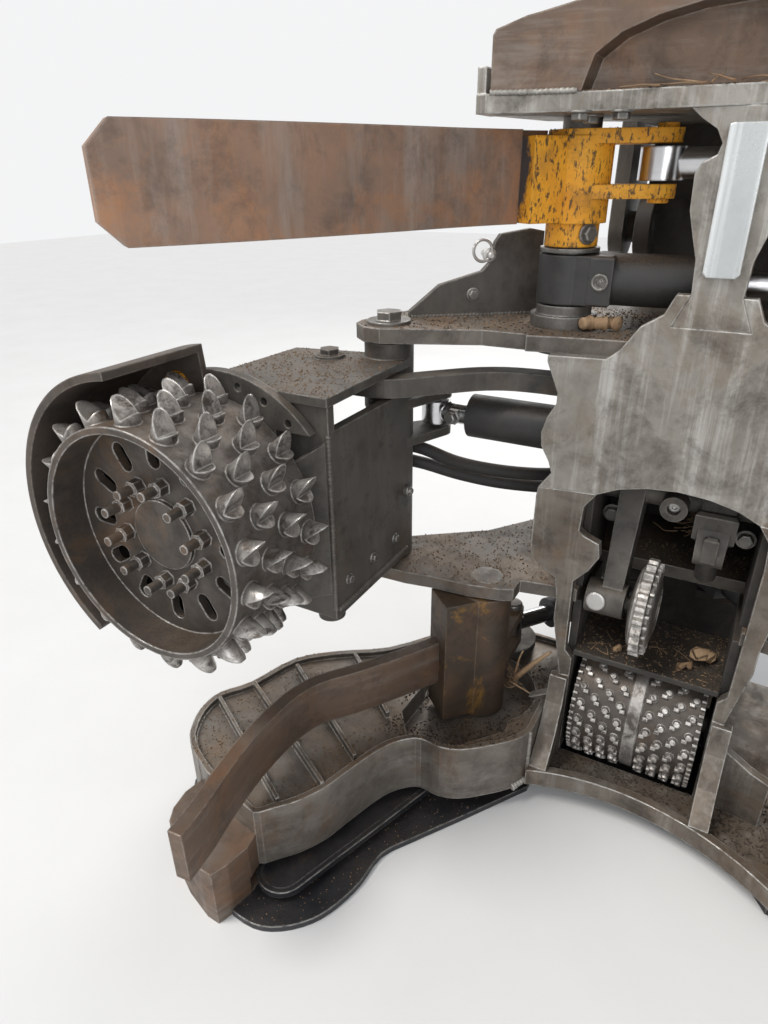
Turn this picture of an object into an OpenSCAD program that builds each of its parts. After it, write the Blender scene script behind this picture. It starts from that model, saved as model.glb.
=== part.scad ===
// Tree harvester head: felling, feeding and delimbing head that hangs from a crane.
// It stands upright on its base plate and saw box, arms and knives open.
// X to the right seen from the front, Y to the back, Z up, millimetres.
// The origin is on the floor, in the middle plane, below the inner feed roller.

/* [Frame] */
// distance of the wear plate's front face in front of the origin
wear_front = 110; // [105:1:120]
// thickness of the wear plates
wear_t = 20; // [16:1:22]
// half width of the middle wear plate
wear_half = 245; // [235:1:255]
// radius of the log cradle at the bottom lip
cradle_r = 350; // [330:5:380]
// radius of the log cradle at the middle wear plate
cradle_mid_r = 1200; // [1000:50:1600]
// top of the lower deck
low_deck_top = 470; // [468:1:472]
// underside of the upper deck
up_deck_z = 940; // [938:1:944]
// thickness of the lower and upper decks
deck_t = 28; // [24:1:29]
// underside of the top band
band_z = 1304; // [1300:1:1308]
// thickness of the top band
band_t = 26; // [20:1:32]
// front of the back wall behind the cylinders
back_y = 330; // [325:1:345]
// thickness of the back wall
back_t = 20; // [15:1:25]

/* [Feed] */
// centre height of the inner feed roller
inner_z = 167; // [166:1:169]
// radius of the inner feed roller's drum
inner_r = 136; // [130:1:137]
// width of the inner feed roller
inner_w = 250; // [240:1:252]
// studs round the inner feed roller
inner_n = 24; // [18:1:26]
// stud rows on each half of the inner feed roller
inner_rows = 4; // [3:1:5]
// feed arm pivot, distance from the middle plane
feed_x = 560; // [555:1:565]
// feed arm pivot, distance in front of the origin
feed_y = 130; // [126:1:134]
// feed roller centre, distance from the middle plane
roll_x = 712; // [705:1:720]
// feed roller centre height
roll_z = 700; // [695:1:703]
// feed roller front rim, distance in front of the origin
roll_front = 677; // [670:1:685]
// feed roller width
roll_w = 200; // [190:2:205]
// feed roller drum radius
roll_r = 200; // [195:1:203]
// length of the feed roller's gouge teeth
tooth_h = 40; // [34:1:44]
// radius of the gouge teeth at their foot
tooth_r = 19; // [16:1:21]
// teeth in each row round the feed roller
tooth_n = 18; // [14:1:20]
// radius of the roller guard, inner face
guard_r = 262; // [258:1:270]

/* [Knives] */
// upper knife pin, distance from the middle plane
up_pin_x = 262; // [258:1:266]
// lower knife pin, distance from the middle plane
low_pin_x = 330; // [326:1:334]
// lower knife pin, distance in front of the origin
low_pin_y = 130; // [126:1:134]
// radius of the knife pins
pin_r = 32; // [28:1:34]
// radial play of the bores on the pins
pin_fit = 0.5; // [0.3:0.1:1]
// height of the upper knife blades
up_blade_h = 142; // [136:1:144]
// height of the lower knife blades
low_blade_h = 104; // [96:1:106]
// thickness of the knife blades
blade_t = 34; // [28:1:36]

/* [Saw] */
// saw bar pivot, distance from the middle plane
saw_x = 330; // [326:1:334]
// saw bar pivot, distance in front of the origin
saw_y = 70; // [66:1:74]
// length of the saw bar from pivot to nose
bar_len = 640; // [620:5:650]
// width of the saw bar
bar_w = 80; // [74:1:84]
// angle of the parked bar
bar_park = 252; // [250:1:253]
// height of the middle of the bar
bar_z = 34; // [32:1:35]

/* [Tilt frame] */
// height of the tilt frame's axis
tilt_z = 1120; // [1110:1:1130]
// distance of the tilt frame's axis behind the origin
tilt_y = 290; // [286:1:294]
// top face of the rotator flange
rotor_z = 1700; // [1690:1:1710]
// pitch circle of the rotator flange bolts
rotor_pcd = 173; // [170:1:176]

/* [Hidden] */
$fn = 64;

wy = -wear_front;
wb = wy + wear_t;
up_deck_top = up_deck_z + deck_t;
low_deck_z = low_deck_top - deck_t;
band_top = band_z + band_t;
// knife layers: bottom of each hub
up_left_z = 1144;
up_right_z = 982;
// height of each cylinder above the bottom of its upper hub
left_cyl_dz = 90;
right_cyl_dz = 70;
low_left_z = 224;
low_right_z = 333;
tilt_back = 420;
tilt_low_z = 500;

steel = [0.42, 0.40, 0.38];
dark = [0.14, 0.14, 0.14];
rust = [0.40, 0.26, 0.18];
worn = [0.62, 0.60, 0.56];
paint = [0.90, 0.56, 0.08];
black = [0.06, 0.06, 0.07];
bright = [0.75, 0.75, 0.76];

// rounded plate corner helper: mirror a list of points across the middle plane
function flip(p) = [for (i = [len(p) - 1 : -1 : 0]) [-p[i][0], p[i][1]]];

module side(s) {
    if (s < 0) children();
    else mirror([1, 0, 0]) children();
}

module upright(x, y, z0, z1, r) {
    translate([x, y, z0]) cylinder(r = r, h = z1 - z0);
}

// outline of the curved wear plates, seen from above
module cradle_ring() {
    difference() {
        translate([0, wy - cradle_mid_r]) circle(r = cradle_mid_r + wear_t, $fn = 120);
        translate([0, wy - cradle_mid_r]) circle(r = cradle_mid_r, $fn = 120);
    }
}

// curved wear plate, cut to an outline given as X and Z points
module wear_panel(z0, z1, pts) {
    intersection() {
        translate([0, 0, z0]) linear_extrude(z1 - z0) cradle_ring();
        translate([0, 100, 0]) rotate([90, 0, 0]) linear_extrude(300) polygon(pts);
    }
}

// Frame plates

plate_low = 692;
plate_half = [[-240, plate_low], [-219, 722], [-226, 745], [-242, 775], [-244, 800], [-236, 830], [-223, 855], [-223, 875],
    [-233, 900], [-245, 930], [-wear_half, up_deck_z], [-150, up_deck_z], [-131, 956], [-105, 996], [-72, 1018], [-58, 1050]];
window_half = [[-150, plate_low - 12], [-134, plate_low], [-98, 708], [-52, 718], [0, 722]];
column_half = [[-58, 1000], [-37, 1050], [-40, 1102], [-50, 1135], [-60, 1170], [-62, 1220], [-54, 1234], [-36, 1244], [-32, 1258],
    [-42, 1276], [-64, 1290], [-81, band_z]];
module wear_plate() {
    color(worn) difference() {
        wear_panel(plate_low, 1050, concat(plate_half, flip(plate_half)));
        translate([0, 100, 0]) rotate([90, 0, 0]) linear_extrude(300) union() {
            polygon(concat(window_half, flip(window_half)));
            polygon(concat(column_half, flip(column_half)));
        }
    }
}

module wear_column() {
    color(worn) translate([0, wy + wear_t + 22, 0]) rotate([90, 0, 0]) linear_extrude(wear_t + 22)
        polygon(concat(column_half, flip(column_half)));
}

module wear_insert() {
    color(bright) translate([0, wy, 1078]) rotate([90, 0, 0]) linear_extrude(9) hull() {
        translate([-26, 6]) square([52, 198]);
        translate([-20, 0]) square([40, 205]);
    }
}

side_in = [[-139, 60], [-139, 316], [-154, 334], [-156, 500]];
side_bump = [[-130, 530], [-114, 562], [-118, 590], [-146, 602]];
side_out = [[-157, 612], [-154, 663], [-134, plate_low], [-240, plate_low], [-242, 675], [-243, 560], [-236, 538], [-215, 520],
    [-190, 500], [-184, 455], [-184, 405], [-170, 330], [-157, 252], [-160, 232], [-176, 212], [-225, 186], [-260, 176], [-260, 60]];
module wear_side(bump) {
    color(worn) {
        wear_panel(lip_floor, plate_low, concat(side_in, bump, side_out));
        // foot that runs out to the lip
        translate([-176, 0, 0]) rotate([90, 0, 90]) linear_extrude(36)
            polygon([[-114, lip_floor], [-114, 270], [-132, 270], [-146, 210], [-178, 150], [-226, lip_top + 4], [-226, lip_top],
                [-202, lip_top], [-202, lip_floor]]);
    }
}
module wear_side_left() {
    difference() {
        wear_side(side_bump);
        translate([0, 0, 60]) linear_extrude(130) polygon(saw_top_pts);
    }
}
module wear_side_right() { mirror([1, 0, 0]) wear_side([]); }

// outline of the base right of the saw box, from the cradle lip to the back
module base_outline(back) {
    difference() {
        polygon([[-178, back], [-178, -200], [-40, -200], [-40, -270], [330, -270], [386, -215], [386, -60],
            [300, 120], [300, back]]);
        translate([0, wy - cradle_r]) circle(r = cradle_r, $fn = 120);
    }
}

module base_plate() {
    color(steel) {
        linear_extrude(14) base_outline(back_y + back_t);
        translate([-178, 100, 13]) cube([470, back_y - 100 + back_t, lip_z - 13]);
    }
}

// trough in front of the inner roller, with an upright lip that takes the tree
lip_z = 52;
lip_floor = 66;
lip_top = 92;
lip_y = -205;
lip_r = 480;
module lip_outline(r) {
    difference() {
        polygon([[-178, back_y], [-178, -300], [300, -340], [340, -330], [386, -290], [386, -60], [300, 120], [300, back_y]]);
        translate([0, lip_y - lip_r]) circle(r = r, $fn = 180);
    }
}
module lip_plate() {
    color(worn) translate([0, 0, lip_z]) {
        linear_extrude(lip_floor - lip_z) difference() {
            lip_outline(lip_r);
            translate([-140, -116]) square([280, 238]);
        }
        linear_extrude(lip_top - lip_z) difference() {
            lip_outline(lip_r);
            lip_outline(lip_r + 18);
        }
    }
}

nose_pts = [[-556, -661], [-598, -652], [-694, -629], [-733, -611], [-740, -650], [-733, -690], [-718, -716], [-660, -745],
    [-600, -764], [-573, -765], [-561, -735], [-552, -690]];
nose_h = 132;
saw_floor_line = [[-178, -208], [-267, -340], [-337, -441], [-378, -506], [-384, -577], [-399, -636],
    [-423, -683], [-464, -722], [-512, -742], [-579, -736], [-640, -700], [-768, -604], [-832, -545], [-844, -445],
    [-802, -365], [-764, -252], [-682, -172], [-582, -98], [-492, 14], [-440, 60], [-400, 112]];
saw_floor_pts = concat(smooth(saw_floor_line, 3), [[-178, 112]]);
// outline of the housing, clockwise from the wear plate along the front wall
saw_top_line = [[-178, -225], [-197, -262], [-240, -306], [-285, -342], [-325, -356], [-369, -354], [-395, -370], [-418, -397],
    [-434, -432], [-447, -470], [-460, -512], [-474, -556], [-500, -602], [-528, -634], [-556, -661], [-598, -652], [-694, -629], [-776, -587],
    [-812, -540], [-828, -490], [-824, -440], [-785, -379], [-747, -265], [-671, -191], [-570, -120], [-480, 0], [-430, 40],
    [-395, 105]];
saw_top_pts = concat(smooth(saw_top_line, 3), [[-178, 105]]);
saw_wall = 12;
saw_foot = 128;
// smooth curve through the points, k pieces between two of them
function smooth(p, k) = let (n = len(p)) concat([for (i = [0 : n - 2]) for (j = [0 : k - 1])
    let (a = p[max(i - 1, 0)], b = p[i], c = p[i + 1], d = p[min(i + 2, n - 1)], t = j / k)
    0.5 * (2 * b + (c - a) * t + (2 * a - 5 * b + 4 * c - d) * t * t + (3 * b - a - 3 * c + d) * t * t * t)], [p[n - 1]]);

// moves each point of a clockwise outline inwards
function loop_in(p, d) = let (n = len(p)) [for (i = [0 : n - 1])
    let (a = p[(i + n - 1) % n], b = p[(i + 1) % n], v = (b - a) / norm(b - a)) p[i] + d * [v[1], -v[0]]];

module saw_floor() {
    color(black) linear_extrude(14) difference() {
        polygon(saw_floor_pts);
        polygon(nose_pts);
    }
    // outer rim that carries the housing, open along the front where the bar swings out
    color(black) translate([0, 0, 13]) linear_extrude(39) difference() {
        polygon(saw_top_pts);
        polygon(nose_pts);
        polygon(loop_in(saw_top_pts, 20));
        polygon([[-150, -20], [-150, -400], [-440, -780], [-690, -780], [-690, -600], [-480, -500], [-400, -250], [-212, -20]]);
    }
}

rib_lines = [[[-812, -456], [-534, -616]], [[-778, -379], [-482, -545]], [[-728, -283], [-463, -458]], [[-628, -184], [-463, -322]]];
pocket_pts = [[-440, -150], [-446, -290], [-406, -345], [-318, -345], [-230, -240], [-240, -150], [-330, -60]];
pocket_r = 124;
module saw_housing() {
    color(dark) difference() {
        translate([0, 0, 52]) linear_extrude(138) difference() {
            polygon(saw_top_pts);
            polygon(nose_pts);
        }
        // sunk top inside the rim
        translate([0, 0, 178]) linear_extrude(20) polygon(loop_in(saw_top_pts, saw_wall));
        // deep pocket round the foot of the knife
        translate([0, 0, saw_foot]) linear_extrude(200) intersection() {
            polygon(loop_in(saw_top_pts, saw_wall));
            union() {
                polygon(pocket_pts);
                translate([-low_pin_x, -low_pin_y]) circle(r = pocket_r);
            }
        }
    }
    // ribs on the top
    color(dark) for (r = rib_lines) let (d = r[1] - r[0])
        translate([r[0][0], r[0][1], 177]) rotate([0, 0, atan2(d[1], d[0])]) translate([0, -4, 0]) cube([norm(d), 8, 17]);
    // pivot of the bar
    color(dark) upright(-saw_x, -saw_y, 14, 53, 25.6);
}

module nose_block() {
    color(rust) difference() {
        linear_extrude(nose_h) polygon(nose_pts);
        upright(-saw_x, -saw_y, 14, 52, bar_len + 22);
    }
}

deck_half = [[0, wb - 60], [-290, wb - 60], [-290, -115], [-375, -116], [-480, -160], [-548, -190], [-585, -186],
    [-615, -160], [-620, -130], [-612, -95]];

deck_low = [[0, wb - 60], [-262, wb - 60], [-262, -158], [-290, -170], [-350, -184], [-430, -190], [-486, -200], [-552, -203],
    [-590, -192], [-614, -166], [-620, -130], [-612, -95]];
deck_back = [[-560, -60], [-400, 60], [-300, 200], [-200, back_y]];
deck_wide = [[-604, -40], [-570, 30], [-480, 84], [-330, 96], [-300, 200], [-200, back_y]];
module deck(z, pins, cut, front, rear, front_cut) {
    color(dark) translate([0, 0, z]) difference() {
        linear_extrude(deck_t) difference() {
            polygon(concat(front, rear, flip(concat(front, rear))));
            intersection() {
                translate([0, wy - cradle_mid_r]) circle(r = cradle_mid_r + wear_t, $fn = 120);
                square([2 * front_cut, 1000], center = true);
            }
            translate([-cut, -200]) square([2 * cut, 290]);
        }
        for (s = [-1, 1]) for (p = pins) translate([s * p[0], p[1], -1]) cylinder(r = p[2], h = deck_t + 2);
    }
}

module lower_deck() {
    deck(low_deck_z, [[feed_x, -feed_y, pin_r], [low_pin_x, -low_pin_y, pin_r]], 150, deck_low, deck_back, 262);
}

module upper_deck() {
    deck(up_deck_z, [[feed_x, -feed_y, pin_r], [up_pin_x, 0, pin_r]], 0.01, deck_half, deck_wide, 1000);
}

band_half = [[0, wy], [-200, wy - 14], [-320, wy - 42], [-366, wy - 66], [-384, wy - 60], [-380, wy - 20], [-340, 60],
    [-206, 180], [-206, back_y + back_t]];
module top_band() {
    color(worn) translate([0, 0, band_z]) difference() {
        union() {
            linear_extrude(band_t) polygon(concat(band_half, flip(band_half)));
            // turned-up lugs at both ends
            for (s = [-1, 1]) translate([s * 377 - 7, wy - 58, 0]) cube([14, 60, band_t + 36]);
        }
        for (s = [-1, 1]) translate([s * up_pin_x, 0, -1]) cylinder(r = pin_r, h = band_t + 2);
    }
}

knife_front = [[-40, wy - 2], [-150, wy - 10], [-239, wy - 24], [-300, wy - 38], [-362, wy - 60]];
knife_side = [[-368, band_top - 1], [-364, 1400], [-358, 1411], [-317, 1426], [-239, 1443], [-170, 1468], [-90, 1488], [-24, 1494]];
knife_arch = [[-236, band_top - 5], [-231, 1342], [-220, 1375], [-187, 1399], [-141, 1416], [-87, 1427], [-20, 1432]];
knife_t = 74;
// strip that follows the front of the knife from depth a to depth b
function knife_strip(a, b) = concat([for (p = knife_front) p + [0, a]],
    [for (i = [len(knife_front) - 1 : -1 : 0]) knife_front[i] + [0, b]]);
module knife_plan(a, b) {
    polygon(concat(knife_strip(a, b), flip(knife_strip(a, b))));
}
module top_knife() {
    color(rust) difference() {
        intersection() {
            translate([0, 0, band_top]) linear_extrude(190) knife_plan(0, knife_t);
            translate([0, 200, 0]) rotate([90, 0, 0]) linear_extrude(500) polygon(concat(knife_side, flip(knife_side)));
        }
        // arched hollow in the front
        intersection() {
            translate([0, 0, band_top - 5]) linear_extrude(120) knife_plan(-90, knife_t - 22);
            translate([0, 200, 0]) rotate([90, 0, 0]) linear_extrude(500) polygon(concat(knife_arch, flip(knife_arch)));
        }
    }
}

module spine() {
    color(dark) translate([-200, back_y, 52]) cube([400, back_t, band_z - 52]);
}

web_y = 50;
module webs() {
    color(dark) for (s = [-1, 1]) translate([s * 190 - 10, web_y, low_deck_top])
        cube([20, back_y - web_y, up_deck_z - low_deck_top]);
}

module brackets() {
    color(dark) {
        // lugs and pins of the tilt frame
        for (s = [-1, 1]) {
            difference() {
                translate([s * 185 - 15, tilt_y, tilt_z]) rotate([0, 90, 0]) cylinder(r = 60, h = 30);
                translate([-300, back_y, tilt_z - 100]) cube([600, 100, 200]);
            }
            translate([s * 185 - 15, tilt_y, tilt_z - 60]) cube([30, back_y - tilt_y, 120]);
            translate([s * 210 - 44, tilt_y, tilt_z]) rotate([0, 90, 0]) cylinder(r = 30, h = 88);
        }
        // brackets of the lower knife cylinders
        for (b = [[-1, low_left_z], [1, low_right_z]]) for (k = [0, 90]) difference() {
            translate([b[0] * 100 - 45, 225, b[1] + k - 2]) cube([90, back_y - 225, 18]);
            upright(b[0] * 100, 270, b[1] + k - 3, b[1] + k + 20, pin_r);
        }
        // lug of the tilt cylinder
        for (s = [-1, 1]) difference() {
            translate([s * 42 - 10, back_y + back_t, tilt_low_z - 45]) cube([20, tilt_back - back_y - back_t + 35, 90]);
            translate([s * 42 - 11, tilt_back, tilt_low_z]) rotate([0, 90, 0]) cylinder(r = 20.5, h = 22);
        }
    }
}

module roller_mounts() {
    color(dark) for (s = [-1, 1]) difference() {
        union() {
            translate([s * 147 - 8, wb, lip_floor]) cube([16, 190, low_deck_z - lip_floor]);
            translate([s * 148 - 12, 0, inner_z]) rotate([0, 90, 0]) cylinder(r = 55, h = 24);
        }
        translate([s * 147 - 20, 0, inner_z]) rotate([0, 90, 0]) cylinder(r = 30.5, h = 40);
    }
    // shelf between roller and measuring wheel
    color(dark) translate([-138.6, wy + 2, roof_z]) cube([277.2, 190, 12]);
}
roof_z = 320;

// side plates that carry the measuring arm's shaft
module measuring_mounts() {
    color(dark) for (s = [-1, 1]) difference() {
        translate([s * 151 - 7, -80, low_deck_top]) cube([14, 170, 222]);
        translate([s * 151 - 8, meas_y, meas_z]) rotate([0, 90, 0]) cylinder(r = 24.4, h = 16);
    }
}

module upper_pins() {
    color(steel) for (s = [-1, 1]) {
        upright(s * up_pin_x, 0, up_deck_z - 12, band_top + 12, pin_r);
        upright(s * up_pin_x, 0, up_deck_z - 20, up_deck_z, 48);
    }
    // rings between hub and cylinder
    color(steel) upright(-up_pin_x, 0, up_right_z + right_cyl_dz + eye_half + 4, up_left_z - 40, 52);
    color(steel) upright(up_pin_x, 0, up_right_z + up_blade_h - 6, up_left_z + left_cyl_dz - eye_half - 4, 48);
    color(steel) upright(-up_pin_x, 0, up_deck_top + 22, up_right_z + right_cyl_dz - eye_half - 4, 50);
    color(steel) upright(-up_pin_x, 0, up_deck_top, up_deck_top + 22, 60);
}
// half height of the upper cylinders' eyes
eye_half = 41;

// pins of the lower knives, their cylinders and the feed arms
module deck_pins() {
    color(steel) for (s = [-1, 1]) upright(s * low_pin_x, -low_pin_y, s < 0 ? saw_foot : lip_floor, low_deck_top, pin_r);
    color(steel) upright(-100, 270, low_left_z - 2, low_left_z + 106, pin_r);
    color(steel) upright(100, 270, low_right_z - 2, low_right_z + 106, pin_r);
    color(steel) for (s = [-1, 1]) {
        upright(s * feed_x, -feed_y, low_deck_z - 15, up_deck_top, pin_r);
        upright(s * feed_x, -feed_y, up_deck_top, up_deck_top + 6, 42);
        translate([s * feed_x, -feed_y, up_deck_top + 6]) cylinder(r = 26, h = 16, $fn = 6);
    }
}

module gusset() {
    color(dark) translate([-556, -57, up_deck_top]) rotate([0, 0, 36.9]) {
        rotate([90, 0, 0]) linear_extrude(15)
            polygon([[0, 0], [0, 12], [59, 60], [142, 83], [158, 100], [166, 136], [176, 150], [236, 159], [262, 154], [262, 0]]);
        translate([236, 0, 0]) cube([13, 26, 118]);
    }
}

module saw_motor() {
    color(dark) {
        upright(-saw_x, 40, 190, 208, 70);
    }
}

// Saw

module saw_bar() {
    color(bright) translate([-saw_x, -saw_y, bar_z]) rotate([0, 0, bar_park]) difference() {
        translate([0, 0, -5]) linear_extrude(10) hull() {
            circle(r = 55);
            translate([bar_len - bar_w / 2, 0]) circle(r = bar_w / 2);
        }
        translate([0, 0, -6]) cylinder(r = 26, h = 12);
    }
}

module saw_chain() {
    color(dark) translate([-saw_x, -saw_y, bar_z]) rotate([0, 0, bar_park]) {
        difference() {
            translate([0, 0, -7]) linear_extrude(14) hull() {
                circle(r = 66);
                translate([bar_len - bar_w / 2, 0]) circle(r = bar_w / 2 + 11);
            }
            translate([0, 0, -8]) linear_extrude(16) hull() {
                circle(r = 55.3);
                translate([bar_len - bar_w / 2, 0]) circle(r = bar_w / 2 + 0.3);
            }
        }
    }
}

// Inner feed roller

module inner_roller() {
    color(steel) translate([0, 0, inner_z]) rotate([0, 90, 0]) {
        translate([0, 0, -inner_w / 2]) cylinder(r = inner_r, h = inner_w);
        translate([0, 0, -158]) cylinder(r = 30, h = 316);
        translate([0, 0, -12]) cylinder(r = inner_r + 4, h = 24);
        for (s = [-1, 1]) for (k = [0 : inner_rows - 1])
            translate([0, 0, s * (29 + k * 26)]) for (i = [0 : inner_n - 1])
                rotate([0, 0, (i + (k % 2) * 0.5) * 360 / inner_n]) translate([inner_r - 2, 0, 0])
                    rotate([0, 90, 0]) cylinder(r1 = 8, r2 = 6, h = 12, $fn = 8);
    }
}

// Measuring wheel

meas_y = 30;
meas_z = 655;
wheel_y = -75;
wheel_z = 455;
module measuring_arm() {
    color(steel) {
        translate([-152, meas_y, meas_z]) rotate([0, 90, 0]) cylinder(r = 24, h = 304);
        // fork with the wheel's hub on the left
        hull() {
            translate([-112, meas_y, meas_z]) rotate([0, 90, 0]) cylinder(r = 34, h = 48);
            translate([-104, wheel_y + 8, wheel_z + 8]) rotate([0, 90, 0]) cylinder(r = 30, h = 38);
        }
        translate([-132, wheel_y, wheel_z]) rotate([0, 90, 0]) cylinder(r = 35, h = 74);
        translate([-60, wheel_y, wheel_z]) rotate([0, 90, 0]) cylinder(r = 14, h = 57);
        // short arm for the spring on the right
        hull() {
            translate([38, meas_y, meas_z]) rotate([0, 90, 0]) cylinder(r = 36, h = 60);
            translate([42, -28, 574]) rotate([0, 90, 0]) cylinder(r = 22, h = 52);
        }
        translate([68, -20, 578]) rotate([24, 0, 0]) translate([0, 0, -74]) cylinder(r = 20, h = 70);
        // boss between the arms
        translate([-8, meas_y, meas_z - 4]) rotate([90, 0, 0]) difference() {
            cylinder(r = 25, h = 58);
            translate([0, 0, 40]) cylinder(r = 12, h = 20);
        }
    }
}

module measuring_wheel() {
    color(bright) translate([-22, wheel_y, wheel_z]) rotate([0, 90, 0]) difference() {
        union() {
            translate([0, 0, -9]) linear_extrude(18) polygon([for (i = [0 : 95])
                (i % 4 < 2 ? 98 : 89) * [cos(i * 3.75), sin(i * 3.75)]]);
            translate([0, 0, -16]) cylinder(r = 40, h = 32);
        }
        translate([0, 0, -17]) cylinder(r = 14.4, h = 34);
    }
}

// Feed arms

module feed_arm(crank) {
    color(dark) {
        difference() {
            union() {
                upright(-feed_x, -feed_y, low_deck_top + 4, up_deck_z - 4, 48);
                translate([0, 0, 480]) linear_extrude(16)
                    polygon([[-770, -arm_front], [-512, -arm_front], [-512, -130], [-560, -82], [-608, -130], [-760, -170]]);
                translate([0, 0, 890]) linear_extrude(16)
                    polygon([[-775, -arm_front - 7], [-508, -arm_front - 7], [-512, -130], [-560, -82], [-608, -130], [-760, -160]]);
                // walls
                translate([-530, -arm_front, 494]) cube([18, arm_front - 135, 350]);
                translate([-760, -arm_front, 494]) cube([248, 18, 398]);
                translate([-760, -arm_front, 494]) cube([18, arm_front - 175, 398]);
                // guide plate at the front corner, turned towards the roller
                translate([-513, 4 - arm_front, 0]) rotate([0, 0, 207.5]) rotate([90, 0, 0]) linear_extrude(12)
                    polygon([[0, 534], [82, 516], [82, 760], [76, 776], [62, 792], [0, 832]]);
                // grease boss under the front corner
                upright(-545, -392, 462, 481, 26);
                // levers for the cylinder
                for (z = lever_z) translate([-feed_x, -feed_y, feed_cyl_z + z]) linear_extrude(18) hull() {
                    circle(r = 50);
                    rotate([0, 0, 60]) translate([lever_len, 0]) circle(r = 32);
                }
                // crank for the tie bar
                if (crank > 0) translate([-feed_x, -feed_y, 890]) linear_extrude(16) hull() {
                    circle(r = 46);
                    rotate([0, 0, 18]) translate([crank, 0]) circle(r = 28);
                }
            }
            upright(-feed_x, -feed_y, low_deck_top, up_deck_z, pin_r + pin_fit);
        }
        // pin of the cylinder
        translate([-feed_x, -feed_y, 0]) rotate([0, 0, 60]) upright(lever_len, 0, feed_cyl_z - 55, feed_cyl_z + 55, crank > 0 ? 14 : 11);
        // bolt through the top plate
        translate([-feed_x + tie_r * cos(-145), -feed_y + tie_r * sin(-145), 0]) {
            upright(0, 0, tie_z - 4, 912, crank > 0 ? 10 : 16);
            upright(0, 0, 905, 912, 30);
            translate([0, 0, 911]) cylinder(r = 20, h = 12, $fn = 6);
        }
    }
}

arm_front = roll_front - roll_w - 52;
lever_z = [-49, 31];
lever_len = 115;
feed_cyl_z = 775;
tie_r = 116;
tie_z = 850;
tie_t = 36;

flange_r = 232;
module feed_motor() {
    color(dark) translate([-roll_x, -arm_front, roll_z]) rotate([90, 0, 0]) {
        difference() {
            cylinder(r = 165, h = 26);
            translate([112, -300, -1]) cube([200, 445, 28]);
        }
        // flange with a ring of bolt holes, cut away beside the guide plate
        translate([0, 0, 8]) difference() {
            cylinder(r = flange_r, h = 18);
            translate([112, -300, -1]) cube([200, 445, 20]);
            for (i = [0 : 23]) rotate([0, 0, i * 15 + 4]) translate([flange_r - 20, 0, -1]) cylinder(r = 7, h = 20);
        }
        cylinder(r = 105, h = 100);
        cylinder(r = 60, h = 168);
    }
}

module feed_guard() {
    color(rust) translate([-roll_x, -arm_front - 26, roll_z]) rotate([90, 0, 0]) intersection() {
        union() {
            difference() {
                cylinder(r = guard_r + 13, h = roll_w + 8);
                translate([0, 0, 12]) cylinder(r = guard_r, h = roll_w + 8);
                translate([0, 0, -1]) cylinder(r = 150, h = 20);
            }
        }
        linear_extrude(300) polygon([[0, 0], [-40, 400], [-400, 400], [-500, 0], [-300, -400]]);
    }
}

module feed_roller() {
    color(steel) translate([-roll_x, -roll_front + roll_w, roll_z]) rotate([90, 0, 0]) {
        difference() {
            cylinder(r = roll_r, h = roll_w, $fn = 90);
            translate([0, 0, -1]) cylinder(r = roll_r - 12, h = roll_w + 2, $fn = 90);
        }
        difference() {
            translate([0, 0, roll_w - 78]) cylinder(r = roll_r - 11, h = 16, $fn = 90);
            for (i = [0 : 11]) rotate([0, 0, i * 30]) translate([0, 0, roll_w - 80]) linear_extrude(20) {
                translate([128, 0]) circle(r = 13);
                translate([152, 0]) circle(r = 13);
                translate([128, -13]) square([24, 26]);
            }
        }
        translate([0, 0, roll_w - 63]) cylinder(r = 62, h = 8);
        // sleeve on the motor shaft
        difference() {
            translate([0, 0, 60]) cylinder(r = 76, h = roll_w - 78 - 59);
            translate([0, 0, 59]) cylinder(r = 60.4, h = roll_w - 78 - 59);
        }
        for (i = [0 : 9]) rotate([0, 0, i * 36 + 10]) translate([88, 0, roll_w - 63]) {
            cylinder(r = 14, h = 20, $fn = 6);
            cylinder(r = 8, h = 48);
        }
        for (k = [0 : 3]) for (i = [0 : tooth_n - 1])
            rotate([0, 0, (i + k * 0.5) * 360 / tooth_n]) translate([roll_r - 4, 0, 22 + k * 50])
                rotate([0, 90, 0]) difference() {
                    cylinder(r = tooth_r, h = tooth_h + 4, $fn = 16);
                    translate([-30, -5, 12]) rotate([-36, 0, 0]) translate([0, -60, 0]) cube([60, 60, 80]);
                }
    }
}

module feed_arm_left() { feed_arm(0); }
module feed_motor_left() { feed_motor(); }
module feed_guard_left() { feed_guard(); }
module feed_roller_left() { feed_roller(); }
module feed_arm_right() { mirror([1, 0, 0]) feed_arm(tie_r); }
module feed_motor_right() { mirror([1, 0, 0]) feed_motor(); }
module feed_guard_right() { mirror([1, 0, 0]) feed_guard(); }
module feed_roller_right() { mirror([1, 0, 0]) feed_roller(); }

// curved bar that makes both feed arms close together
tie_path = [[-655, -196.5], [-610, -214], [-560, -218], [-510, -204], [-450, -145], [-380, -80], [-300, -52],
    [-150, -50], [150, -52], [300, -66], [449.7, -94.2]];
module tie_bar() {
    n = len(tie_path) - 1;
    line = smooth(tie_path, 4);
    m = len(line) - 1;
    color(dark) translate([0, 0, tie_z]) difference() {
        union() {
            linear_extrude(tie_t) polygon(concat([for (i = [0 : m]) line[i] - 22 * pnorm(line, i)],
                [for (i = [m : -1 : 0]) line[i] + 18 * pnorm(line, i)]));
            translate(tie_path[0]) cylinder(r = 30, h = tie_t);
            translate(tie_path[n]) cylinder(r = 28, h = tie_t);
        }
        translate([tie_path[0][0], tie_path[0][1], -1]) cylinder(r = 16.5, h = tie_t + 2);
        translate([tie_path[n][0], tie_path[n][1], -1]) cylinder(r = 14, h = tie_t + 2);
    }
}

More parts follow.
